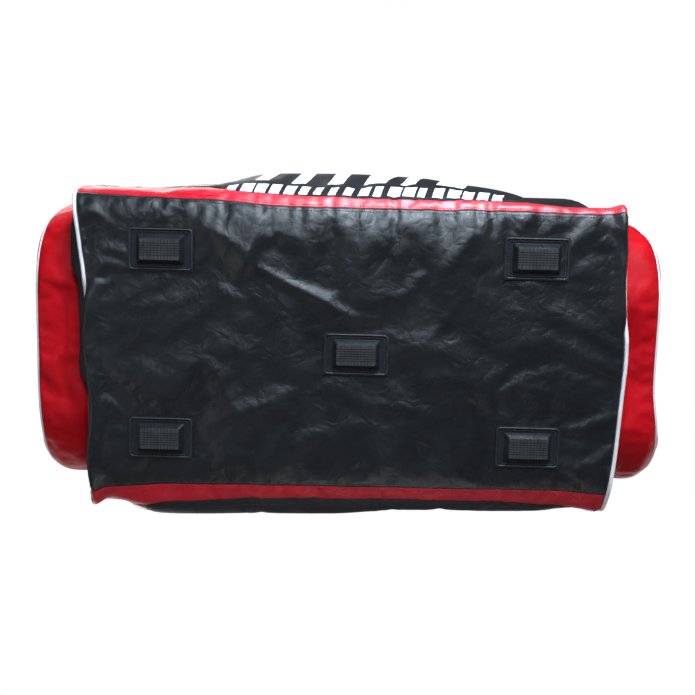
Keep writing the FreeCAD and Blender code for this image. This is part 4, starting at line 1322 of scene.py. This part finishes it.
def make_zip_half(name, line, outward, body, node, tape_z, top, materials, phase=0.0):
    """One half of a zip, its tape and teeth. line has (x, y, sideways x, sideways y) rows."""
    line = np.asarray(line, float)

    def beside(step, z):
        reach = outward * step * line[:, 2:]
        return np.column_stack([line[:, :2] + reach, np.full(len(line), z)])

    tape = np.stack([beside(step, tape_z + TAPE_THICKNESS) for step in (ZIP_GAP, 3 * MM, 7 * MM, TAPE_WIDTH)])
    (along_x, along_y), (side_x, side_y) = line[1, :2] - line[0, :2], outward * line[0, 2:]
    upside_down = along_x * side_y < along_y * side_x
    piece = new_piece(f"{name}_tape", materials["tape"], *sheet_mesh(tape, upside_down))
    settle(thicken(piece, TAPE_THICKNESS, rounded=False), body, "zip_tape", node)
    height = (top - tape_z - TAPE_THICKNESS) / 2
    row = evenly(beside(ZIP_GAP + TOOTH_LENGTH / 2, top - height), TOOTH_PITCH / 4)[int(phase * 4):]
    teeth = beads(row, TOOTH_PITCH, TOOTH_LENGTH / 2, 0.8 * MM, height, (0, 0, 1), turn=math.pi / 2)
    settle(new_piece(f"{name}_teeth", materials["coil"], *teeth), body, "zip_tape")


def make_zips(materials):
    line = three_sides(*ZIP_LINE, 400)
    make_zip_half("rim_zip", line, 1, "bag", "rim_zip_half", TAPE_Z, COIL_TOP, materials)
    make_zip_half("lid_zip", line, -1, "lid", "lid_zip_half", TAPE_Z, COIL_TOP, materials, 0.5)
    for name, side in SIDES:
        low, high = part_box(f"{name}_flap_zip_half")
        x = side * (max(abs(low.x), abs(high.x)) + ZIP_GAP)
        line = [(x, y, side, 0.0) for y in np.linspace(low.y, high.y, 80)]
        make_zip_half(f"{name}_face_zip", line, 1, "bag", f"{name}_face_zip_half", low.z, high.z, materials)
        make_zip_half(f"{name}_flap_zip", line, -1, f"{name}_flap", f"{name}_flap_zip_half", low.z, high.z,
                      materials, 0.5)


# ---------------------------------------------------------------- handles

strand_low, strand_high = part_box("back_handle")
STRAP_Y = (strand_low.y + strand_high.y) / 2
STRAP_THICKNESS = strand_high.y - strand_low.y
STRAP_WIDTH = 38 * MM
STRAND_X = strand_high.x - STRAP_WIDTH / 2
STRAP_TOP = strand_high.z
STRAP_BOTTOM = strand_low.z + STRAP_WIDTH / 2
CORNER_RADIUS = 60 * MM
anchor_low, anchor_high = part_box("back_handle_anchors")
ROLL_RADIUS = anchor_high.z - STRAP_TOP
ROLL_Y = anchor_high.y - ROLL_RADIUS
ANCHOR_Y = anchor_low.y + STRAP_THICKNESS / 2
WRAP_RADIUS = STRAP_Y - ROLL_Y
STITCH_INSET = 15 * MM


def strap(path, outs, seed):
    """Flat webbing along a path whose upper face looks along outs, as (points, faces, uv)."""
    path, outs = np.asarray(path, float), np.asarray(outs, float)
    wide = np.cross(unit(np.gradient(path, axis=0)), outs)
    half, thick, soft = STRAP_WIDTH / 2, STRAP_THICKNESS / 2, 0.7 * MM
    section = [(-half, 0), (-half + soft, thick)] + [(half * k, thick) for k in (-0.5, 0, 0.5)]
    section += [(half - soft, thick), (half, 0), (half - soft, -thick)]
    section += [(half * k, -thick) for k in (0.5, 0, -0.5)] + [(-half + soft, -thick)]
    ripple = np.array([0.35 * MM * wander(seed, *(p * 25)) for p in path])
    rings = [path + wide * across + outs * (up + ripple[:, None]) for across, up in section]
    return bar_mesh(np.stack(rings, 1))


def loop_path(side):
    """The handle's webbing: over one fold, down, along its grip, up, and over the other fold."""
    path, outs = [], []

    def step(x, out_run, z, out_y, out_z):
        path.append((x, side * out_run, z))
        outs.append((0, side * out_y, out_z))

    wraps = np.radians(np.linspace(12, 180, 13))
    for angle in wraps:
        out_y, out_z = -math.cos(angle), math.sin(angle)
        step(-STRAND_X, ROLL_Y + WRAP_RADIUS * out_y, STRAP_TOP + WRAP_RADIUS * out_z, out_y, out_z)
    bend_z = STRAP_BOTTOM + CORNER_RADIUS
    for z in np.linspace(STRAP_TOP, bend_z, 20)[1:]:
        step(-STRAND_X, STRAP_Y, z, 1, 0)
    for angle in np.linspace(0, math.pi / 2, 18)[1:]:
        x = -STRAND_X + CORNER_RADIUS * (1 - math.cos(angle))
        step(x, STRAP_Y, bend_z - CORNER_RADIUS * math.sin(angle), 1, 0)
    inner = STRAND_X - CORNER_RADIUS
    for x in np.linspace(-inner, 0, 16)[1:]:
        step(x, STRAP_Y, STRAP_BOTTOM, 1, 0)
    path += [(-x, y, z) for x, y, z in path[-2::-1]]
    outs += outs[-2::-1]
    return path, outs


def anchor_path(side, x):
    """Webbing sewn flat to the panel, with its top end rolled."""
    path, outs = [], []
    for z in np.linspace(anchor_low.z, STRAP_TOP - 6 * MM, 22):
        path.append((x, side * ANCHOR_Y, z))
        outs.append((0, side, 0))
    rolled = ROLL_RADIUS - STRAP_THICKNESS / 2
    for angle in np.radians(np.linspace(-10, 300, 22)):
        out_y, out_z = -math.cos(angle), math.sin(angle)
        path.append((x, side * (ROLL_Y + rolled * out_y), STRAP_TOP + rolled * out_z))
        outs.append((0, -side * out_y, -out_z))
    return path, outs


def make_handle(name, side, materials):
    body = f"{name}_loop"
    start, end = (0, side * STRAP_Y, STRAP_TOP + 2 * MM), (0, side * STRAP_Y, STRAP_TOP - 8 * MM)
    path, outs = loop_path(side)
    piece = new_piece(f"{name}_handle_webbing", materials["webbing"], *strap(path, outs, 20 + side))
    bend(piece, body, start, end, "webbing", f"{name}_handle")
    lines = []
    flat = [k for k, out in enumerate(outs) if abs(out[2]) < 1e-3][1:-1]
    spine = np.array([path[k] for k in flat])
    across = np.cross(unit(np.gradient(spine, axis=0)), (0, side, 0))
    for offset in (-STITCH_INSET, STITCH_INSET):
        line = spine + across * offset + np.array((0, side * (STRAP_THICKNESS / 2 + 0.1 * MM), 0))
        lines.append(stitching(line, (0, side, 0), pitch=4.6 * MM))
    piece = new_piece(f"{name}_handle_stitches", materials["thread"], *joined(lines))
    bend(piece, body, start, end, "webbing")
    straps, crosses = [], []
    for x in (-STRAND_X, STRAND_X):
        straps.append(strap(*anchor_path(side, x), 24 + side))
        face_y = side * (ANCHOR_Y + STRAP_THICKNESS / 2 + 0.2 * MM)
        left, right = x - STITCH_INSET, x + STITCH_INSET
        bottom, top = anchor_low.z + 4 * MM, STRAP_TOP - 14 * MM
        box = [(left, bottom), (right, bottom), (right, top), (left, top)]
        for (x1, z1), (x2, z2) in (*zip(box, box[1:] + box[:1]), (box[0], box[2]), (box[1], box[3])):
            line = [(x1, face_y, z1), (x2, face_y, z2)]
            crosses.append(stitching(line, (0, side, 0), pitch=4 * MM, half_length=1.6 * MM))
    piece = new_piece(f"{name}_anchor_webbing", materials["webbing"], *joined(straps))
    settle(piece, "bag", "webbing", f"{name}_handle_anchors")
    settle(new_piece(f"{name}_anchor_stitches", materials["thread"], *joined(crosses)), "bag", "webbing")
    make_grip(name, side, materials)


def make_grip(name, side, materials):
    """A padded sleeve round the bottom of the handle, closed along its outer side."""
    low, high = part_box(f"{name}_grip")
    centre, half = (low + high) / 2, (high - low) / 2
    sections, sides = 34, 40
    rings = np.zeros((sections + 1, sides, 3))
    for r in range(sections + 1):
        share = 2 * r / sections - 1
        x = centre.x + half.x * share
        plump = (1 - abs(share) ** 14) ** 0.5 * (0.93 + 0.07 * (1 - share ** 2))
        plump = max(plump, 0.45)
        for c in range(sides):
            angle = 2 * math.pi * c / sides
            cos, sin = math.cos(angle), math.sin(angle)
            flat_y = math.copysign(abs(cos) ** 0.75, cos)
            flat_z = math.copysign(abs(sin) ** 0.85, sin)
            puff = 1 + 0.03 * wander(30 + side, x * 40, cos, sin) - 0.03
            channel = math.exp(-((abs(flat_z) - 0.55) / 0.07) ** 2) * 1.3 * MM * (cos * side > 0)
            y = half.y * plump * puff * flat_y - side * channel
            rings[r, c] = x, centre.y + y, centre.z + half.z * plump * puff * flat_z
    piece = new_piece(f"{name}_grip_sleeve", materials["grip"], *bar_mesh(rings))
    round_mesh(piece)
    settle(piece, f"{name}_loop", "grip_padding", f"{name}_grip")


# ---------------------------------------------------------------- build

materials = make_materials()
make_camera()
make_lights()
make_world()
make_floor()

shell = shell_patch()
lid = lid_patch()
ends = {name: end_patch(side) for name, side in SIDES}
gussets = {name: gusset_patch(side) for name, side in SIDES}
pocket_faces = {name: face_patch(side) for name, side in SIDES}
drape([shell, lid, *ends.values(), *gussets.values(), *pocket_faces.values()])

make_shell(shell, materials)
make_bindings(shell, materials)
make_foot_frames(materials)
make_rim(materials)
make_lid(lid, materials)
make_zips(materials)
for name, side in SIDES:
    make_end_panel(name, ends[name], materials)
    make_end_piping(name, side, materials)
    make_pocket(name, side, gussets[name], pocket_faces[name], materials)
for name, side in (("front", FRONT), ("back", BACK)):
    make_handle(name, side, materials)

for name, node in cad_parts.items():
    kind = "foot" if name.startswith("foot") else "board" if name == "base_board" else "metal"
    node.data.materials.clear()
    node.data.materials.append(materials[kind])
